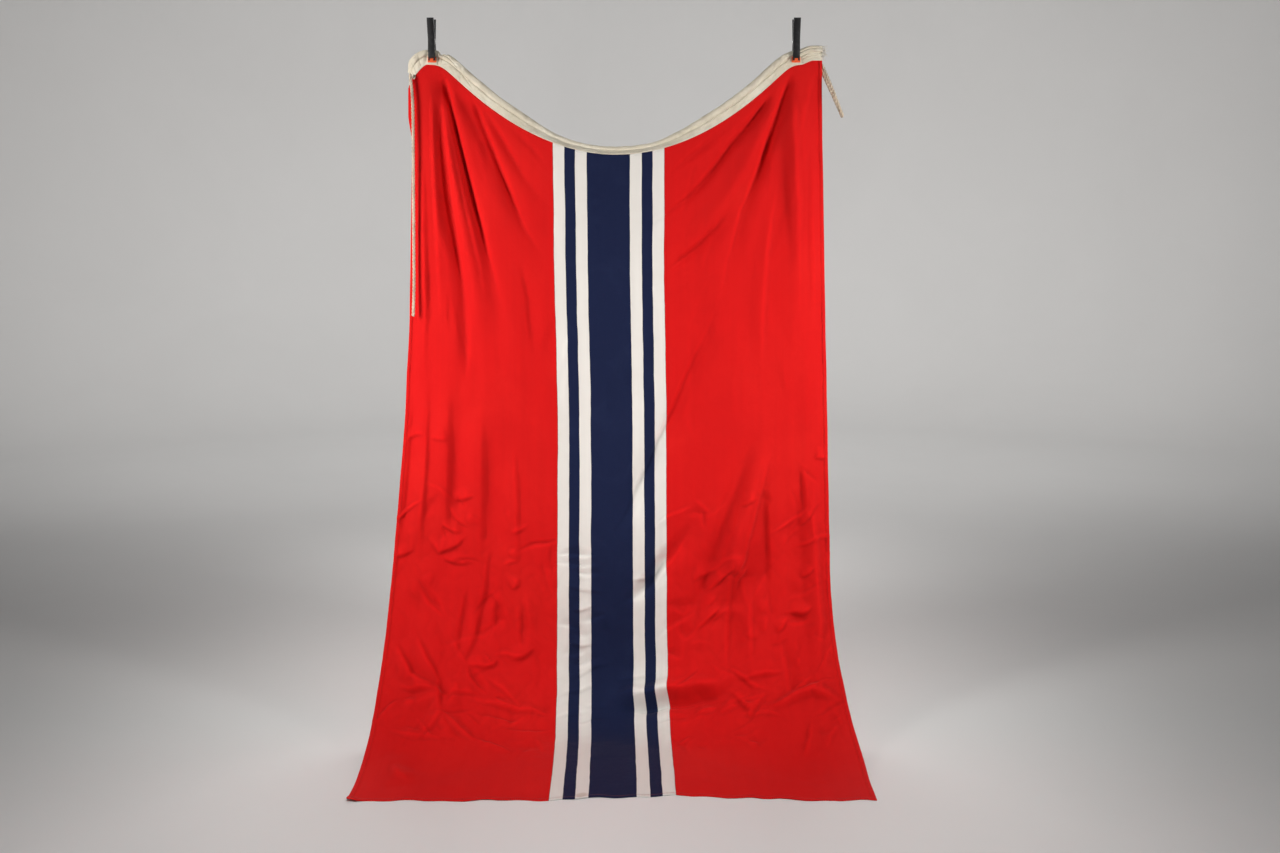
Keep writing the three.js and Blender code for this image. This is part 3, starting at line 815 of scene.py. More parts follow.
# Sharp creases: depth, half width and path, laid over the soft folds
CREASES = [
    # upper left, out of the clamp
    (-8, (20, 9), [(-600, 0), (-534, 150), (-484, 280), (-436, 400), (-398, 520), (-366, 640)]),
    (6, (12, 26), [(-590, 60), (-530, 230), (-480, 380), (-440, 520), (-410, 700)]),
    (-5, (20, 10), [(-612, 60), (-584, 250), (-556, 400), (-522, 560), (-495, 720), (-485, 900)]),
    (-8, (16, 10), [(-480, 0), (-390, 130), (-330, 230), (-290, 310), (-200, 400)]),
    (-5, (14, 9), [(-430, 15), (-350, 80), (-250, 175)]),
    (-4.5, (14, 9), [(-340, 0), (-260, 40), (-190, 90)]),
    (4, (12, 20), [(-645, 80), (-628, 320), (-612, 560), (-600, 800)]),
    (-4, (24, 9), [(-520, 600), (-505, 760), (-500, 920)]),
    (3.5, (30, 12), [(-690, 200), (-680, 450), (-672, 700), (-670, 950)]),
    (-3, 10, [(-300, 420), (-270, 560), (-262, 760)]),
    # upper right, out of the clamp
    (-5, (9, 16), [(500, 0), (330, 35), (250, 60), (170, 105)]),
    (-7, (10, 18), [(560, 25), (400, 90), (300, 160), (200, 210), (60, 285)]),
    (-6, (10, 18), [(420, 290), (280, 370), (170, 425)]),
    (-6, (9, 22), [(622, 10), (572, 90), (520, 180), (438, 330), (392, 480), (355, 620)]),
    (-6, (10, 26), [(380, 560), (270, 780), (200, 960), (150, 1060), (60, 1250), (-30, 1370)]),
    (6, (34, 16), [(620, 80), (640, 400), (640, 760)]),
    (5, (30, 12), [(570, 260), (522, 500), (505, 700), (500, 900)]),
    (3.5, 12, [(700, 200), (698, 500), (700, 800)]),
    # lower left pleats
    (5, (46, 10), [(-652, 940), (-652, 1240), (-658, 1530)]),
    (5, (70, 16), [(-568, 900), (-566, 1230), (-570, 1500)]),
    (4.5, (64, 16), [(-447, 930), (-443, 1230), (-446, 1500)]),
    (-4, (9, 40), [(-715, 960), (-712, 1230), (-725, 1500)]),
    (4, (26, 10), [(-330, 1050), (-320, 1250), (-318, 1480)]),
    (-5, (10, 20), [(-400, 1380), (-412, 1560), (-440, 1720), (-500, 1880)]),
    # lower left, short creases
    (4.5, 8, [(-585, 1385), (-535, 1392), (-500, 1388)]),
    (5, 8, [(-545, 1300), (-500, 1275), (-460, 1255)]),
    (4, 8, [(-560, 1310), (-520, 1350), (-470, 1372)]),
    (6, 9, [(-630, 1420), (-580, 1475), (-530, 1440), (-480, 1390)]),
    (5, 8, [(-575, 1497), (-520, 1492), (-450, 1482)]),
    (5, 9, [(-750, 1492), (-715, 1490), (-665, 1478)]),
    (4, 8, [(-740, 1120), (-700, 1105), (-650, 1100)]),
    (3.5, 8, [(-640, 1108), (-590, 1112), (-560, 1108)]),
    (-6, (9, 14), [(-655, 1565), (-600, 1640), (-550, 1682)]),
    (-5, (10, 16), [(-475, 1540), (-490, 1700), (-502, 1800)]),
    (5, 8, [(-335, 1545), (-318, 1522), (-305, 1490)]),
    (-5, (9, 14), [(-382, 1580), (-378, 1640), (-374, 1700)]),
    (-5, (9, 14), [(-300, 1560), (-292, 1650), (-290, 1740)]),
    (6, 9, [(-340, 1770), (-290, 1748), (-250, 1712)]),
    (7, 9, [(-480, 1812), (-430, 1800), (-390, 1795), (-375, 1770)]),
    (-6, (9, 14), [(-475, 1805), (-440, 1850), (-395, 1890)]),
    (5, 8, [(-420, 1825), (-340, 1880), (-290, 1918)]),
    (8, (10, 20), [(-690, 1922), (-610, 1926), (-550, 1932)]),
    (8, (20, 10), [(-712, 1770), (-650, 1885), (-555, 1932)]),
    (7, (18, 10), [(-650, 1735), (-602, 1830), (-548, 1905)]),
    (-8, (10, 20), [(-547, 1860), (-542, 1930), (-538, 2000)]),
    (8, (22, 10), [(-538, 1985), (-565, 2050), (-596, 2120)]),
    (7, (10, 20), [(-535, 1992), (-480, 2055), (-420, 2090)]),
    (6, 10, [(-670, 1960), (-705, 2010), (-742, 2062)]),
    (6, 9, [(-535, 1910), (-475, 1903), (-420, 1898)]),
    (6, 10, [(-700, 2082), (-600, 2112), (-510, 2098)]),
    (6, (9, 18), [(-490, 1918), (-300, 1930), (-190, 1918)]),
    (-5, 9, [(-450, 1962), (-330, 1972), (-280, 1948)]),
    (-4, 10, [(-360, 2010), (-260, 2000), (-180, 1975)]),
    (5, 12, [(-655, 2250), (-630, 2330), (-590, 2370)]),
    # lower right
    (13, (44, 84), [(520, 1050), (470, 1200), (418, 1350), (378, 1470), (330, 1600), (290, 1760)]),
    (-7, (34, 16), [(478, 1080), (424, 1240), (374, 1380), (332, 1480), (282, 1620), (245, 1750)]),
    (7, (34, 10), [(545, 1100), (490, 1280), (440, 1440), (405, 1560), (392, 1700)]),
    (-8, (36, 10), [(262, 1340), (190, 1440), (130, 1510), (50, 1555)]),
    (-5, (34, 14), [(505, 1220), (508, 1350), (512, 1480), (524, 1690)]),
    (7, (34, 14), [(678, 1240), (692, 1500), (702, 1720), (655, 1930)]),
    (-6, (24, 9), [(636, 1180), (645, 1275), (652, 1380)]),
    (-7, (10, 34), [(412, 1420), (392, 1700), (378, 1880)]),
    (6, (30, 10), [(462, 1560), (455, 1700), (452, 1850)]),
    (5, 8, [(300, 1568), (360, 1520), (412, 1488)]),
    (5, 8, [(262, 1700), (320, 1640), (360, 1612)]),
    (4.5, 8, [(395, 1530), (420, 1490), (452, 1462)]),
    (7, 9, [(560, 1668), (640, 1676), (680, 1662)]),
    (-6, 8, [(580, 1702), (625, 1700), (670, 1694)]),
    (6, 8, [(542, 1728), (567, 1707), (585, 1682)]),
    (5, 8, [(630, 1398), (662, 1376), (690, 1352)]),
    (5, 8, [(628, 1564), (662, 1552), (692, 1536)]),
    (5, 8, [(412, 1550), (430, 1525), (447, 1498)]),
    (4.5, 8, [(420, 1300), (455, 1288), (490, 1282)]),
    (4, 8, [(690, 1190), (715, 1187), (745, 1190)]),
    (-5, (10, 22), [(560, 1740), (580, 1850), (572, 1960)]),
    # the roll where the middle meets the floor, and the creases before it
    (5, (18, 26), [(20, 1862), (130, 1869), (250, 1872), (380, 1862)]),
    (-6, (10, 22), [(10, 1912), (120, 1917), (250, 1920), (370, 1900)]),
    (8, 11, [(390, 1862), (480, 1862), (580, 1845)]),
    (6, 9, [(262, 1964), (300, 1955), (340, 1942)]),
    (5, 9, [(332, 1968), (370, 1962), (410, 1952)]),
    (7, 9, [(372, 1890), (430, 1960), (458, 1990)]),
    (7, 9, [(422, 2010), (460, 1960), (486, 1920)]),
    (9, (14, 22), [(470, 2000), (570, 1960), (640, 1938), (748, 1995)]),
    (6, 9, [(582, 1936), (615, 1912), (646, 1880)]),
    (6, 10, [(626, 2020), (602, 2130), (575, 2215)]),
]
CREASE_DEEPER = 1.9  # how much deeper every crease is made than its listed depth
CREASE_LEAN = 2.8  # how many times wider the wide side of a crease is than its steep side
CREASE_NARROWS = 0.45  # share of its width that a crease loses towards its ends
CREASE_TIP = 0.25  # share of a crease's half width that its edge rounds off
CREASE_FOOT = 0.22  # how softly its sides run out
CREASE_SIDE = 1.35  # height and slope of a crease's flat sides
CREASE_SLOPE = 0.9


def nearest_on(path, u, v):
    """Each point's distance from a path on the flat cloth, its share along it, and if it is right of it."""
    distance = np.full(u.shape, np.inf)
    along = np.zeros(u.shape)
    right = np.zeros(u.shape, bool)
    pieces = len(path) - 1
    for i in range(pieces):
        (u0, v0), (u1, v1) = path[i], path[i + 1]
        du, dv = u1 - u0, v1 - v0
        t = clamp01(((u - u0) * du + (v - v0) * dv) / (du * du + dv * dv))
        here = np.hypot(u - u0 - du * t, v - v0 - dv * t)
        closer = here < distance
        along = np.where(closer, (i + t) / pieces, along)
        right = np.where(closer, (v - v0) * du < (u - u0) * dv, right)
        distance = np.minimum(distance, here)
    return distance, along, right


def add_fold(depth_map, u, v, fold, end, profile, narrows=0.0):
    """Adds a fold whose half width is one number, or a pair for its left and right sides."""
    depth, width, path = fold
    path = np.array(path) * MM
    left_width, right_width = np.broadcast_to(width, 2) * MM
    room = 4 * max(left_width, right_width)
    near = ((u > path[:, 0].min() - room) & (u < path[:, 0].max() + room)
            & (v > path[:, 1].min() - room) & (v < path[:, 1].max() + room))
    distance, along, right = nearest_on(path, u[near], v[near])
    ends = smooth(along / end[0]) * smooth((1 - along) / end[1])
    taper = (1 - narrows) + narrows * ends
    width_here = taper * np.where(right, right_width, left_width)
    depth_map[near] += depth * MM * ends * profile(distance / width_here)


def soft_profile(t):
    return np.exp(-(t**2))


def sharp_profile(t):
    """A crease with flat sides, a barely rounded edge and a soft foot."""
    side = CREASE_SIDE - CREASE_SLOPE * np.sqrt(t**2 + CREASE_TIP**2)
    return 0.5 * (side + np.sqrt(side**2 + CREASE_FOOT**2)) / (CREASE_SIDE - CREASE_SLOPE * CREASE_TIP)


def small_creases():
    """Scattered creases: near level ones over the band, short ones over the lower half, upright ones above."""
    random = np.random.default_rng(11)
    made = []
    for v in np.arange(1395, 1960, 29):
        u = random.uniform(-150, 110)
        half = random.uniform(45, 90)
        slope = random.uniform(-0.35, 0.30)
        bow = random.uniform(-8, 8)
        ends = [(u - half, v - slope * half), (u, v + bow), (u + half, v + slope * half)]
        made.append((random.choice([-1, 1]) * random.uniform(1.6, 3.0), random.uniform(6, 8), ends))

    for _ in range(150):
        side = random.choice([-1, 1])
        u = side * random.uniform(190, 720)
        v = 2120 - 900 * random.uniform(0, 1) ** 1.5
        half = random.uniform(20, 90)
        angle = random.choice([random.normal(1.5, 0.3), random.normal(0.4, 0.3), random.normal(2.6, 0.3)])
        du, dv = half * math.cos(angle), half * math.sin(angle)
        bend = random.uniform(-0.16, 0.16) * half
        bent = u + bend * math.sin(angle), v - bend * math.cos(angle)
        ends = [(u - du, v - dv), bent, (u + du, v + dv)]
        width = random.uniform(6, 9)
        sides = random.choice([1, 2.5]) * width, random.choice([1, 2.5]) * width
        made.append((random.choice([-1, 1]) * random.uniform(1.2, 3.2), sides, ends))

    for _ in range(36):
        u = random.uniform(-700, 700)
        v = random.uniform(150, 1150)
        half = random.uniform(60, 160)
        lean = random.normal(0, 0.18) + 0.25 * np.sign(u) * (v < 600)
        ends = [(u + lean * half, v - half), (u, v), (u - lean * half, v + half)]
        made.append((random.choice([-1, 1]) * random.uniform(1.0, 2.2), random.uniform(9, 20), ends))
    return made


def leaning(crease):
    """Gives a crease with one half width a steep side and a wide one; a pair of half widths stays as it is."""
    depth, width, path = crease
    return (depth, width if isinstance(width, tuple) else (width, CREASE_LEAN * width), path)


ALL_CREASES = [leaning(crease) for crease in CREASES + small_creases()]


def fold_depth(u, v):
    """How far the cloth stands towards its face side, with soft folds, creases and crumpling."""
    total = np.zeros(u.shape)
    for fold in CLAMP_FOLDS:
        add_fold(total, u, v, fold, CLAMP_FOLD_ENDS, soft_profile)
    for fold in FOLDS:
        add_fold(total, u, v, fold, FOLD_ENDS, soft_profile)
    total += SIDE_CURL * ramp(HALF - 0.09, HALF, np.abs(u)) * ramp(0, 0.3, v) * ramp(1.5, 1.0, v)
    total += MIDDLE_SET * (1 - smooth(np.abs(u) / 0.42)) * ramp(0, 0.4, v) * ramp(1.5, 0.9, v)

    stray_u = u + 0.005 * ripple(u, v, (9, 9), 11) + 0.002 * ripple(u, v, (30, 30), 12)
    stray_v = v + 0.005 * ripple(u, v, (9, 9), 13) + 0.002 * ripple(u, v, (30, 30), 14)
    creases = np.zeros(u.shape)
    for crease in ALL_CREASES:
        ends = CLAMP_FOLD_ENDS if crease[2][0][1] < AT_CLAMP else CREASE_ENDS
        add_fold(creases, stray_u, stray_v, crease, ends, sharp_profile, CREASE_NARROWS)
    total += CREASE_DEEPER * creases

    lying = ramp(1.95, 2.15, v)
    crumpled = ramp(1.15, 1.55, v) * (1 - 0.85 * lying) + 0.12
    beside = 0.35 + 0.65 * ramp(0.12, 0.24, np.abs(u))
    total += 0.012 * ripple(u, v, (4.5, 1.2), 15) * (1 - lying)
    total += 0.006 * ripple(u, v, (10.0, 3.5), 16) * (1 - 0.8 * lying)
    facets = np.abs(ripple(stray_u, stray_v, (11, 8), 17))
    facets += 0.45 * np.abs(ripple(stray_u, stray_v, (25, 20), 18))
    total += 0.008 * (facets - 0.35) * crumpled * beside
    return total * ramp(0, 0.06, v) * ramp(FLAG_LENGTH, FLAG_LENGTH - 0.06, v)


# ---------------------------------------------------------------- the flag cloth

CLOTH_THICK = 0.0010
HEM_THICK = 0.0020
HEM_WIDTH = 0.015
SHARP_BEND = 110.0  # per metre; a crease that bends this sharply gets the full painted shade in its bottom, and the full wear and painted highlight on its ridge
TURNED_OUT = 0.013  # how far the side edge is turned out below the heading's left end
CORNER_LIFT = 0.008  # how far the foot's left corner curls up
OFF_FLOOR = 0.0002
SEAM_STEP = 0.0012  # the fine step of the grid beside seams, hem folds and edges
CLOTH_STEP = 0.0045  # the grid's step down the creased part of the cloth


def spaced(stops):
    """Places from a list of (to, step) stretches, from the first stop on."""
    places = [stops[0]]
    for to, step in stops[1:]:
        count = max(1, int(round(abs(to - places[-1]) / step)))
        places += list(np.linspace(places[-1], to, count + 1)[1:])
    return np.array(places)


def side_columns():
    """Columns of a red side panel, outwards from its seam, fine at the seam, the hem's fold and the edge."""
    fold = HALF - HEM_WIDTH
    return spaced([BAND_HALF, (BAND_HALF + SEAM_STEP, SEAM_STEP), (fold - SEAM_STEP, 0.0053),
                   (fold, SEAM_STEP), (HALF - SEAM_STEP, 0.0069), (HALF, SEAM_STEP)])


def band_columns():
    half = spaced([0.0, (BAND_HALF - SEAM_STEP, 0.0062), (BAND_HALF, SEAM_STEP)])
    return np.concatenate([-half[:0:-1], half])


def cloth_rows(step):
    fold = FLAG_LENGTH - HEM_WIDTH
    return spaced([-SEAM_STEP, (1.0, 1.9 * step), (2.15, step), (fold - SEAM_STEP, 1.6 * step),
                   (fold, SEAM_STEP), (FLAG_LENGTH - SEAM_STEP, 0.0069), (FLAG_LENGTH, SEAM_STEP)])


def crease_shade_and_wear(depth, u, v):
    """Where the cloth bends sharply: over 0 on ridges, painted lighter for wear and a painted highlight; under
    0 in the bottoms of creases, painted darker as painted shade.
    """
    def bending(field, places, axis):
        slope = np.gradient(field, axis=axis) / np.gradient(places, axis=axis)
        return np.gradient(slope, axis=axis) / np.gradient(places, axis=axis)

    return np.clip(-(bending(depth, u, 1) + bending(depth, v, 0)) / SHARP_BEND, -1, 1)


def flag_surface(u, v):
    """The flag's back, with its folds, a wavering side edge and a loose, scalloped foot."""
    edge = ramp(HALF - 0.05, HALF, np.abs(u))
    held = ramp(0, 0.15, v)
    cut_u = u * (1 - edge * held * 0.004 * (1 + ripple(0 * u + np.sign(u), v, (3, 7), 19)))
    foot = ramp(FLAG_LENGTH - 0.10, FLAG_LENGTH, v)
    scallops = 0.006 * np.abs(ripple(u, 0 * v, (9, 1), 20)) + 0.003 * np.abs(ripple(u, 0 * v, (31, 1), 21))
    cut_v = v - foot * scallops
    places = hang(cut_u, cut_v)
    places += face_normal(hang, cut_u, cut_v) * fold_depth(u, v)[..., None]
    lift = (0.007 * np.maximum(0, ripple(u, 0 * v, (7, 1), 22) + 0.1)
            + 0.003 * np.maximum(0, ripple(u, 0 * v, (19, 1), 23)))
    places[..., 2] += lift * ramp(FLAG_LENGTH - 0.05, FLAG_LENGTH, v)
    turned_edge = ramp(-HALF + 0.030, -HALF, u) * ramp(0.0, 0.035, v) * ramp(0.20, 0.11, v)
    places[..., 0] -= TURNED_OUT * turned_edge
    corner = ramp(0.05, 0, np.hypot(u + HALF, v - FLAG_LENGTH))
    places[..., 2] += CORNER_LIFT * corner
    places[..., 2] = np.maximum(OFF_FLOOR, places[..., 2])
    return places


def make_panel(name, columns, rows, material):
    """One width of the flag: its back surface, thickened towards the face, and doubled along its hems."""
    bm, column, row = sheet_grid(columns, rows)
    u, v = np.meshgrid(columns, rows)
    places = flag_surface(u, v) + np.array(SHIFT)
    move_points(bm, places[row, column])
    flat_map = np.stack([columns[column], rows[row]], axis=1)
    panel = finish_piece(name, bm, material, ["flag_cloth"], flat_map)
    # The cloth's bending, kept for its finish: painted shade in the bottoms of creases, wear and a painted
    # highlight on ridges.
    worn = panel.data.attributes.new("CreaseShadeAndWear", "FLOAT", "POINT")
    worn.data.foreach_set("value", crease_shade_and_wear(fold_depth(u, v), u, v)[row, column].astype(np.float32))
    hem = panel.vertex_groups.new(name="hem")
    in_from_edge = np.minimum(HALF - np.abs(flat_map[:, 0]), FLAG_LENGTH - flat_map[:, 1])
    doubled = in_from_edge < HEM_WIDTH + 1e-4
    hem.add([int(i) for i in np.nonzero(doubled)[0]], 1.0, "REPLACE")
    wall = panel.modifiers.new("cloth thickness", "SOLIDIFY")
    wall.thickness = HEM_THICK
    wall.offset = 1.0
    wall.vertex_group = "hem"
    wall.thickness_vertex_group = CLOTH_THICK / HEM_THICK
    return panel


BUNTING = make_flag_finish()
side = side_columns()
left_panel = make_panel("left_panel", -side[::-1], cloth_rows(CLOTH_STEP), BUNTING)
band_panel = make_panel("stripe_band", band_columns(), cloth_rows(CLOTH_STEP), BUNTING)
right_panel = make_panel("right_panel", side, cloth_rows(CLOTH_STEP), BUNTING)

# ---------------------------------------------------------------- the heading

# The sleeve's outline: height above the seam and place before the hanging plane, in millimetres. The lower
# band lies flat, a pressed line runs along its top, and the upper band is drawn round the rope inside.
SLEEVE = [
    (-1.4, 2.0), (-0.6, 2.7), (1.5, 3.0), (5, 2.9), (10, 2.9), (15, 3.1), (18.5, 3.1), (20.4, 2.2),
    (21.4, 0.9), (22.2, 1.0), (23.2, 3.4), (25.6, 6.2), (29.5, 7.6), (34, 7.6), (38, 6.2), (41.2, 4.0),
    (43.0, 1.6), (42.6, 0.0), (40.5, -1.3), (37, -2.6), (32.5, -3.2), (28, -2.6), (24.5, -1.6), (21.6, -0.5),
    (17, 0.0), (12, 0.1), (6, 0.1), (1.5, 0.2), (-0.8, 0.5), (-1.4, 1.2),
]
# Creases across the heading: place u at its low end, low and high ends above the seam, how far its high end
# leans, depth and half width, in millimetres
HEADING_CREASES = [
    (-614, 2, 43, -14, -3.4, 2.6), (-603, 14, 43, -4, -2.6, 2.4), (-626, 6, 43, -2, 1.8, 4.0),
    (-668, 8, 42, 8, -2.8, 2.6), (-680, 6, 40, 12, 1.8, 4.0), (-693, 4, 38, 14, -2.6, 2.8),
    (-708, 2, 36, 16, 1.5, 4.0), (-723, 0, 32, 14, -2.4, 2.8), (-739, -2, 24, 8, -2.0, 2.8),
    (-585, 16, 40, 26, -1.8, 3.4), (-520, 4, 36, -22, -1.4, 5.0), (-455, 12, 43, 16, 1.0, 6.0),
    (-395, 2, 30, -12, -1.1, 5.0), (-330, 6, 40, 10, -1.0, 6.0), (-250, 6, 40, -8, -0.9, 6.0),
    (-140, 2, 36, 8, -0.9, 6.0), (-60, 2, 34, 8, -0.8, 6.0), (60, 8, 40, -8, 0.8, 6.0),
    (150, 4, 38, -10, -0.9, 6.0), (300, 2, 30, 10, -1.0, 5.0), (385, 4, 40, 12, 1.0, 6.0),
    (440, 4, 36, 16, -1.2, 5.0), (505, 6, 40, 20, -1.4, 4.5), (560, 10, 43, 24, -2.0, 3.0),
    (590, 4, 43, 16, 1.6, 4.0), (606, 10, 43, 10, -2.2, 2.6), (664, 2, 43, 4, -2.4, 2.4),
]
# Creases along the heading's right end: height above the seam at the clamp, rise towards the end, depth
END_CREASES = [(7.0, 2.0, -1.6), (14.0, 2.0, -3.4), (19.5, 3.0, 1.6), (26.0, -3.0, -4.6), (34.5, 2.0, -4.0)]
SLEEVE_STEP = 0.0014
SLEEVE_PRESSED = (0.0002, 0.0028)  # the sleeve's two faces, flat between the clamps' pads
PADS_SHIFT = -0.0025  # the middle between the two clamps' pads, and how far each is from it
PADS_OFF = 0.6385
END_CREASE_WIDTH = 1.9
LONG_CREASE_DEPTH = -0.0028
LONG_CREASE_WIDTH = 0.0022
NOTCH_DEPTH = 0.009  # how far the sleeve's top is drawn down beside the left clamp
NOTCHES = [(-0.612, 0.007, 1.0), (-0.600, 0.004, 0.5)]  # place, half width and share of that depth
TIP_DROP = 0.014  # how far the sleeve's lower left corner hangs down
# One long crease that starts in the notch beside the left clamp and runs down to the seam
LONG_CREASE = [(-612, 43), (-592, 34), (-550, 26), (-500, 16), (-445, 4)]


def seam_point(u):
    return flag_surface(u, 0 * u)


def heading_axes(u):
    """Along, outward and forward directions of the heading at u."""
    step = 0.004
    along = unit(seam_point(u + step) - seam_point(u - step))
    lean_angle = 1.02 * (1 - ramp(0.120, 0.420, np.abs(u))) + 0.9 * ramp(-0.690, -0.750, u)
    upright = unit(np.stack([-along[..., 2], 0 * u, along[..., 0]], axis=-1))
    outward = upright * np.cos(lean_angle)[..., None]
    outward[..., 1] = np.sin(lean_angle)
    forward = np.cross(along, outward)
    return along, outward, unit(forward) * np.sign(-forward[..., 1:2])


def heading_places(u, height, lift):
    """Places on the heading: u along it, height above the seam and lift before the hanging plane, in metres."""
    _, outward, forward = heading_axes(u)
    return seam_point(u) + outward * height[..., None] + forward * lift[..., None]


def heading_shape(u, height, lift):
    """Rumples the sleeve: creases at the clamps and the ends, an uneven pressed line and the loose corners."""
    front = ramp(-0.0005, 0.0015, lift)
    up = height / MM
    rumple = np.zeros(u.shape)
    for at, low, high, lean, depth, width in HEADING_CREASES:
        middle = (at + lean * (up - low) / (high - low)) * MM
        within = ramp(low - 6, low + 4, up) * ramp(high + 6, high - 4, up)
        rumple += depth * MM * within * np.exp(-(((u - middle) / (width * MM)) ** 2))
    to_end = ramp(0.652, 0.680, u)
    for high, rise, depth in END_CREASES:
        line = high + rise * (u - 0.655) / 0.095
        rumple += depth * MM * to_end * np.exp(-(((up - line) / END_CREASE_WIDTH) ** 2))
    distance, along, _ = nearest_on(np.array(LONG_CREASE) * MM, u, height)
    drawn = LONG_CREASE_DEPTH * smooth(along / 0.1) * smooth((1 - along) / 0.3)
    rumple += drawn * np.exp(-((distance / LONG_CREASE_WIDTH) ** 2))
    loose = ramp(0, 0.008, height)
    rumple += (0.0022 * ripple(u, height, (24, 60), 24) + 0.0014 * ripple(u, height, (70, 130), 25)) * loose
    gripped = ramp(0.025, 0.016, np.abs(np.abs(u - PADS_SHIFT) - PADS_OFF)) * ramp(31.0, 27.0, up)
    lift = lift + rumple * front
    pressed = np.clip(lift, *SLEEVE_PRESSED)
    lift = lift + (pressed - lift) * gripped
    height = height + 0.0022 * ripple(u, height, (14, 30), 26) * loose
    notch = sum(share * np.exp(-(((u - place) / width) ** 2)) for place, width, share in NOTCHES)
    height = height - NOTCH_DEPTH * notch * ramp(0.026, 0.043, height)
    tip = ramp(-0.728, -HALF, u) * ramp(0.014, 0, height)
    height = height - TIP_DROP * tip
    return height, lift


def finer(loop, step):
    """A closed outline with points set in on its sides so that none is longer than the step."""
    points = [loop[0]]
    for start, end in zip(loop, loop[1:]):
        count = max(1, math.ceil(np.hypot(*(end - start)) / step))
        points += [start + (end - start) * i / count for i in range(1, count + 1)]
    return np.array(points)


def make_heading():
    """The canvas sleeve, drawn round its outline and along the seam, with ragged ends."""
    outline = np.array(SLEEVE) * MM
    loop = finer(np.vstack([outline, outline[:1]]), SLEEVE_STEP)
    columns = spaced([-HALF, (-0.50, 0.0022), (0.46, 0.0048), (HALF, 0.0022)])
    bm, column, row = sheet_grid(columns, np.arange(len(loop)))
    u, _ = np.meshgrid(columns, np.arange(len(loop)))
    height, lift = (np.repeat(loop[:, k:k + 1], len(columns), axis=1) for k in (0, 1))
    ragged = 0.0060 * ripple(0 * u, height, (1, 130), 27) + 0.0034 * ripple(0 * u, height, (1, 380), 28)
    ends_u = u + ragged * (ramp(0.735, 0.750, u) + 0.4 * ramp(-0.735, -0.750, u))
    height, lift = heading_shape(u, height, lift)
    places = heading_places(ends_u, height, lift) + np.array(SHIFT)
    girth = np.concatenate([[0], np.cumsum(np.hypot(*np.diff(loop, axis=0).T))])
    flat_map = np.stack([columns[column], girth[row]], axis=1)
    move_points(bm, places[row, column])
    layer = bm.loops.layers.uv.new("Flat")
    for face in bm.faces:
        for corner in face.loops:
            corner[layer].uv = flat_map[corner.vert.index]
    bmesh.ops.remove_doubles(bm, verts=bm.verts, dist=WELD)
    bmesh.ops.holes_fill(bm, edges=[e for e in bm.edges if e.is_boundary], sides=0)
    bmesh.ops.recalc_face_normals(bm, faces=bm.faces)
    return finish_piece("heading_sleeve", bm, CANVAS, ["heading"])


heading = make_heading()


STITCH_ROWS = [(0.0028, 0.0046, -0.744), (0.0188, 0.0050, -0.742)]  # height above the seam, pitch and start
STITCH_ROWS_END = 0.742
STITCH_LIFT = 0.0029
STITCH_HALVES = (0.0017, 0.00045, 0.00042)  # half sizes of a stitch along, across and forward
STITCHES_AT_ONCE = 24


def make_heading_stitches():
    """Two rows of stitches: one where the heading is sewn to the cloth, one under the rope."""
    bm = bmesh.new()
    for row_height, pitch, start in STITCH_ROWS:
        u = np.arange(start, STITCH_ROWS_END, pitch)
        height, lift = heading_shape(u, np.full(u.shape, row_height), np.full(u.shape, STITCH_LIFT))
        places = heading_places(u, height, lift) + np.array(SHIFT)
        axes = heading_axes(u)
        for first in range(0, len(u), STITCHES_AT_ONCE):
            group = bmesh.new()
            for i in range(first, min(len(u), first + STITCHES_AT_ONCE)):
                turn = Matrix([axis[i] * half for axis, half in zip(axes, STITCH_HALVES)])
                turn = turn.transposed().to_4x4()
                turn.translation = Vector(places[i])
                bmesh.ops.create_uvsphere(group, u_segments=6, v_segments=4, radius=1, matrix=turn)
            join_into(bm, group)
    bmesh.ops.recalc_face_normals(bm, faces=bm.faces)
    return finish_piece("heading_stitches", bm, THREAD)


FRAYED = 34  # loose threads at the heading's end
FRAYED_FROM = 0.7465
FOOT_THREADS = [-0.748, -0.31, 0.13, 0.155, 0.36, 0.747]  # places across the foot of its few loose threads


def make_frayed_threads():
    """Loose threads at the heading's ragged right end and a few at the cloth's foot."""
    random = np.random.default_rng(5)
    bm = bmesh.new()

    def thread(start, heading_to, long, droop, radius):
        t = np.linspace(0, 1, 9)[:, None]
        side = random.normal(0, 0.45, 3)
        path = start + heading_to * long * t + side * long * t**2 * 0.6 + np.array([0, 0, -droop]) * t**2
        tube(bm, path, 5, lambda angle, along: radius)

    heights = np.linspace(0.003, 0.042, FRAYED)
    ends_u, lifts = np.full(FRAYED, FRAYED_FROM), np.full(FRAYED, 0.0022)
    starts = heading_places(ends_u, heights, lifts) + np.array(SHIFT)
    for start, height in zip(starts, heights):
        long = random.uniform(0.005, 0.012) + 0.012 * math.exp(-(((height - 0.024) / 0.005) ** 2))
        way = unit(np.array([1.0, random.uniform(-0.4, 0.1), random.uniform(-0.5, 0.4)]))
        thread(start, way, long, 0.2 * long, random.uniform(0.0004, 0.0008))
    foot = np.array(FOOT_THREADS)
    starts = flag_surface(foot, np.full(foot.shape, FLAG_LENGTH)) + np.array(SHIFT)
    for start in starts:
        way = unit(np.array([random.uniform(-0.5, 0.5), -1.0, 0.0]))
        thread(start + np.array([0, 0, 0.0012]), way, random.uniform(0.008, 0.014), 0.0, 0.0003)
    for vertex in bm.verts:
        vertex.co.z = max(0.0, vertex.co.z)
    return finish_piece("frayed_threads", bm, THREAD)


stitches = make_heading_stitches()
threads = make_frayed_threads()

# ---------------------------------------------------------------- spring clamps

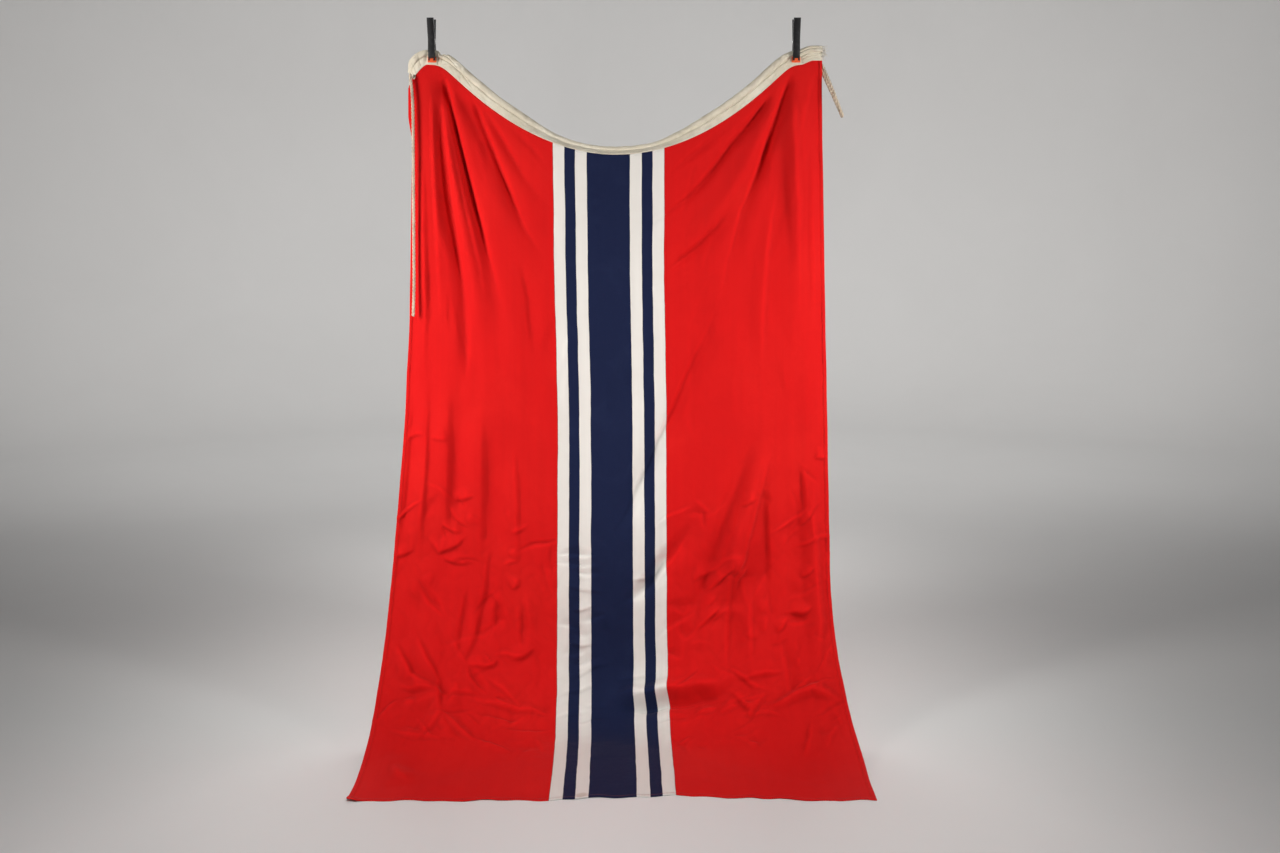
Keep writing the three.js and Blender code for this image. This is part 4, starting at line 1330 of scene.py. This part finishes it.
WIRE = 0.0009  # radii of the spring's wire and of its coil
COIL = 0.0058
COIL_TURNS = 4.5
COIL_WIDTH = 0.0078
SPRING_LEG = np.array([0, 0.0030, 0.022])
LEVER_ROUND = 0.0007  # rounding of the moulded edges, and the angle from which an edge counts as one
PAD_ROUND = 0.0005
MOULDED_EDGE = math.radians(24)
NEARLY_FLAT = math.radians(2)
# The pivot pin's outline: place along it and radius, with a low domed head at each end
PIN_PROFILE = [
    (-0.0120, 0.0), (-0.0119, 0.0012), (-0.0115, 0.0024), (-0.0109, 0.0032), (-0.0106, 0.0034),
    (-0.0106, 0.0025), (0.0106, 0.0025), (0.0106, 0.0034), (0.0109, 0.0032), (0.0115, 0.0024),
    (0.0119, 0.0012), (0.0120, 0.0),
]


def softened_copy(node, material, bevel, name):
    """A copy of a moulded solid with its edges rounded off."""
    bm = bmesh.new()
    bm.from_mesh(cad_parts[node].data)
    bmesh.ops.remove_doubles(bm, verts=bm.verts, dist=2e-5)
    bmesh.ops.dissolve_limit(bm, angle_limit=NEARLY_FLAT, verts=bm.verts, edges=bm.edges)
    sharp = [e for e in bm.edges if len(e.link_faces) == 2 and e.calc_face_angle(0) > MOULDED_EDGE]
    bmesh.ops.bevel(bm, geom=sharp, offset=bevel, offset_type="OFFSET", segments=3, profile=0.5,
                    affect="EDGES", clamp_overlap=True, material=-1)
    bmesh.ops.triangulate(bm, faces=[f for f in bm.faces if len(f.verts) > 4])
    return finish_piece(name, bm, material, [node])


def make_coil_spring(side, middle):
    """A torsion spring: its coil round the pivot, and a leg against the inside of each handle."""
    angle = np.linspace(math.pi, math.pi + FULL_TURN * COIL_TURNS, 150)
    coil = np.stack([
        np.linspace(-COIL_WIDTH / 2, COIL_WIDTH / 2, len(angle)),
        COIL * np.cos(angle),
        COIL * np.sin(angle),
    ], axis=1)
    t = np.linspace(0, 1, 14)[1:, None]
    lead_in = coil[0] + t[::-1] * SPRING_LEG * np.array([1, -1, 1])
    lead_out = coil[-1] + t * SPRING_LEG
    path = np.vstack([lead_in, coil, lead_out]) + np.array(middle)
    bm = bmesh.new()
    tube(bm, path, 10, lambda a, s: WIRE)
    return finish_piece(f"{side}_coil_spring", bm, STEEL, [f"{side}_clamp_spring"])


def make_pivot_pin(side, middle):
    """A riveted pin with low domed heads."""
    bm = bmesh.new()
    points = [bm.verts.new((x, r, 0)) for x, r in PIN_PROFILE]
    edges = [bm.edges.new(pair) for pair in zip(points, points[1:])]
    bmesh.ops.spin(bm, geom=points + edges, cent=(0, 0, 0), axis=(1, 0, 0), angle=FULL_TURN, steps=28,
                   use_merge=True)
    bmesh.ops.remove_doubles(bm, verts=bm.verts, dist=WELD)
    bmesh.ops.recalc_face_normals(bm, faces=bm.faces)
    bmesh.ops.translate(bm, verts=bm.verts, vec=middle)
    return finish_piece(f"{side}_pivot_pin", bm, STEEL, [f"{side}_clamp_pivot"])


def make_clamp(side):
    low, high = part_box(f"{side}_clamp_pivot")
    middle = (low + high) / 2
    for part in ("front", "back"):
        softened_copy(f"{side}_clamp_{part}_lever", NYLON, LEVER_ROUND, f"{side}_{part}_lever")
        softened_copy(f"{side}_clamp_{part}_pad", PAD_FINISH, PAD_ROUND, f"{side}_{part}_pad")
    make_coil_spring(side, middle)
    make_pivot_pin(side, middle)


make_clamp("left")
make_clamp("right")

# ---------------------------------------------------------------- floor and light

STUDIO_RADIUS = 9.0
STUDIO_CURVE = 2.5
STUDIO_TOP = 5.5


def make_studio():
    """A pale floor that curves up into a wall all round, well behind any view."""
    bm = bmesh.new()
    bend = np.linspace(0, math.pi / 2, 12)
    profile = [(0.0, 0.0), (2.0, 0.0)]
    flat_end = STUDIO_RADIUS - STUDIO_CURVE
    profile += [(flat_end + STUDIO_CURVE * math.sin(b), STUDIO_CURVE * (1 - math.cos(b))) for b in bend]
    profile.append((STUDIO_RADIUS, STUDIO_TOP))
    points = [bm.verts.new((r, 0, z)) for r, z in profile]
    edges = [bm.edges.new(pair) for pair in zip(points, points[1:])]
    bmesh.ops.spin(bm, geom=points + edges, cent=(0, 0, 0), axis=(0, 0, 1), angle=FULL_TURN, steps=96,
                   use_merge=True)
    bmesh.ops.remove_doubles(bm, verts=bm.verts, dist=1e-5)
    bmesh.ops.recalc_face_normals(bm, faces=bm.faces)
    bmesh.ops.reverse_faces(bm, faces=bm.faces)
    mesh = bpy.data.meshes.new("studio")
    bm.to_mesh(mesh)
    bm.free()
    mesh.shade_smooth()
    mesh.materials.append(make_floor_finish())
    studio = bpy.data.objects.new("studio", mesh)
    bpy.context.scene.collection.objects.link(studio)


def add_soft_box(name, place, aim, size, power, colour, spread):
    """A soft box; a spread under 180 degrees is a grid on its front that keeps it to one side of the cloth."""
    data = bpy.data.lights.new(name, "AREA")
    data.shape = "RECTANGLE"
    data.size, data.size_y = size
    data.energy = power
    data.color = colour
    data.spread = math.radians(spread)
    light = bpy.data.objects.new(name, data)
    light.location = place
    light.visible_camera = False
    light.rotation_euler = (Vector(aim) - Vector(place)).to_track_quat("-Z", "Y").to_euler()
    bpy.context.scene.collection.objects.link(light)


make_studio()
WARM = (1.0, 0.975, 0.95)
WHITE = (1.0, 0.985, 0.97)
WALL_WHITE = (1.0, 0.99, 0.98)
# name, place, aim, size, power, colour and spread of each soft box
SOFT_BOXES = [
    ("soft_left", (-2.6, -1.5, 1.9), (-0.95, 0.3, 1.42), (1.1, 1.1), 17.5, WARM, 60),
    ("soft_right", (2.6, -1.5, 1.8), (0.95, 0.3, 1.40), (0.7, 1.0), 13.5, WARM, 60),
    ("soft_top", (0.0, -2.2, 3.6), (0.0, -0.6, 0.0), (2.6, 0.4), 12, WHITE, 50),
    ("soft_front", (0.0, -4.2, 2.9), (0.0, 0.0, 1.6), (1.6, 0.8), 3, WHITE, 180),
    ("soft_back", (0.0, 3.4, 3.2), (0.0, 0.0, 1.0), (3.0, 1.4), 38, WHITE, 110),
    ("wall_wash", (0.0, 1.6, 5.6), (0.0, 8.4, 0.6), (7.0, 1.4), 170, WALL_WHITE, 110),
]
for soft_box in SOFT_BOXES:
    add_soft_box(*soft_box)

AIR_COLOUR = (0.92, 0.95, 1.0, 1)
AIR_STRENGTH = 0.10
world = bpy.data.worlds.new("studio air")
world.use_nodes = True
air = next(n for n in world.node_tree.nodes if n.type == "BACKGROUND")
feed_inputs(world.node_tree, air, {"Color": AIR_COLOUR, "Strength": AIR_STRENGTH})
bpy.context.scene.world = world
bpy.context.scene.view_settings.view_transform = "Standard"
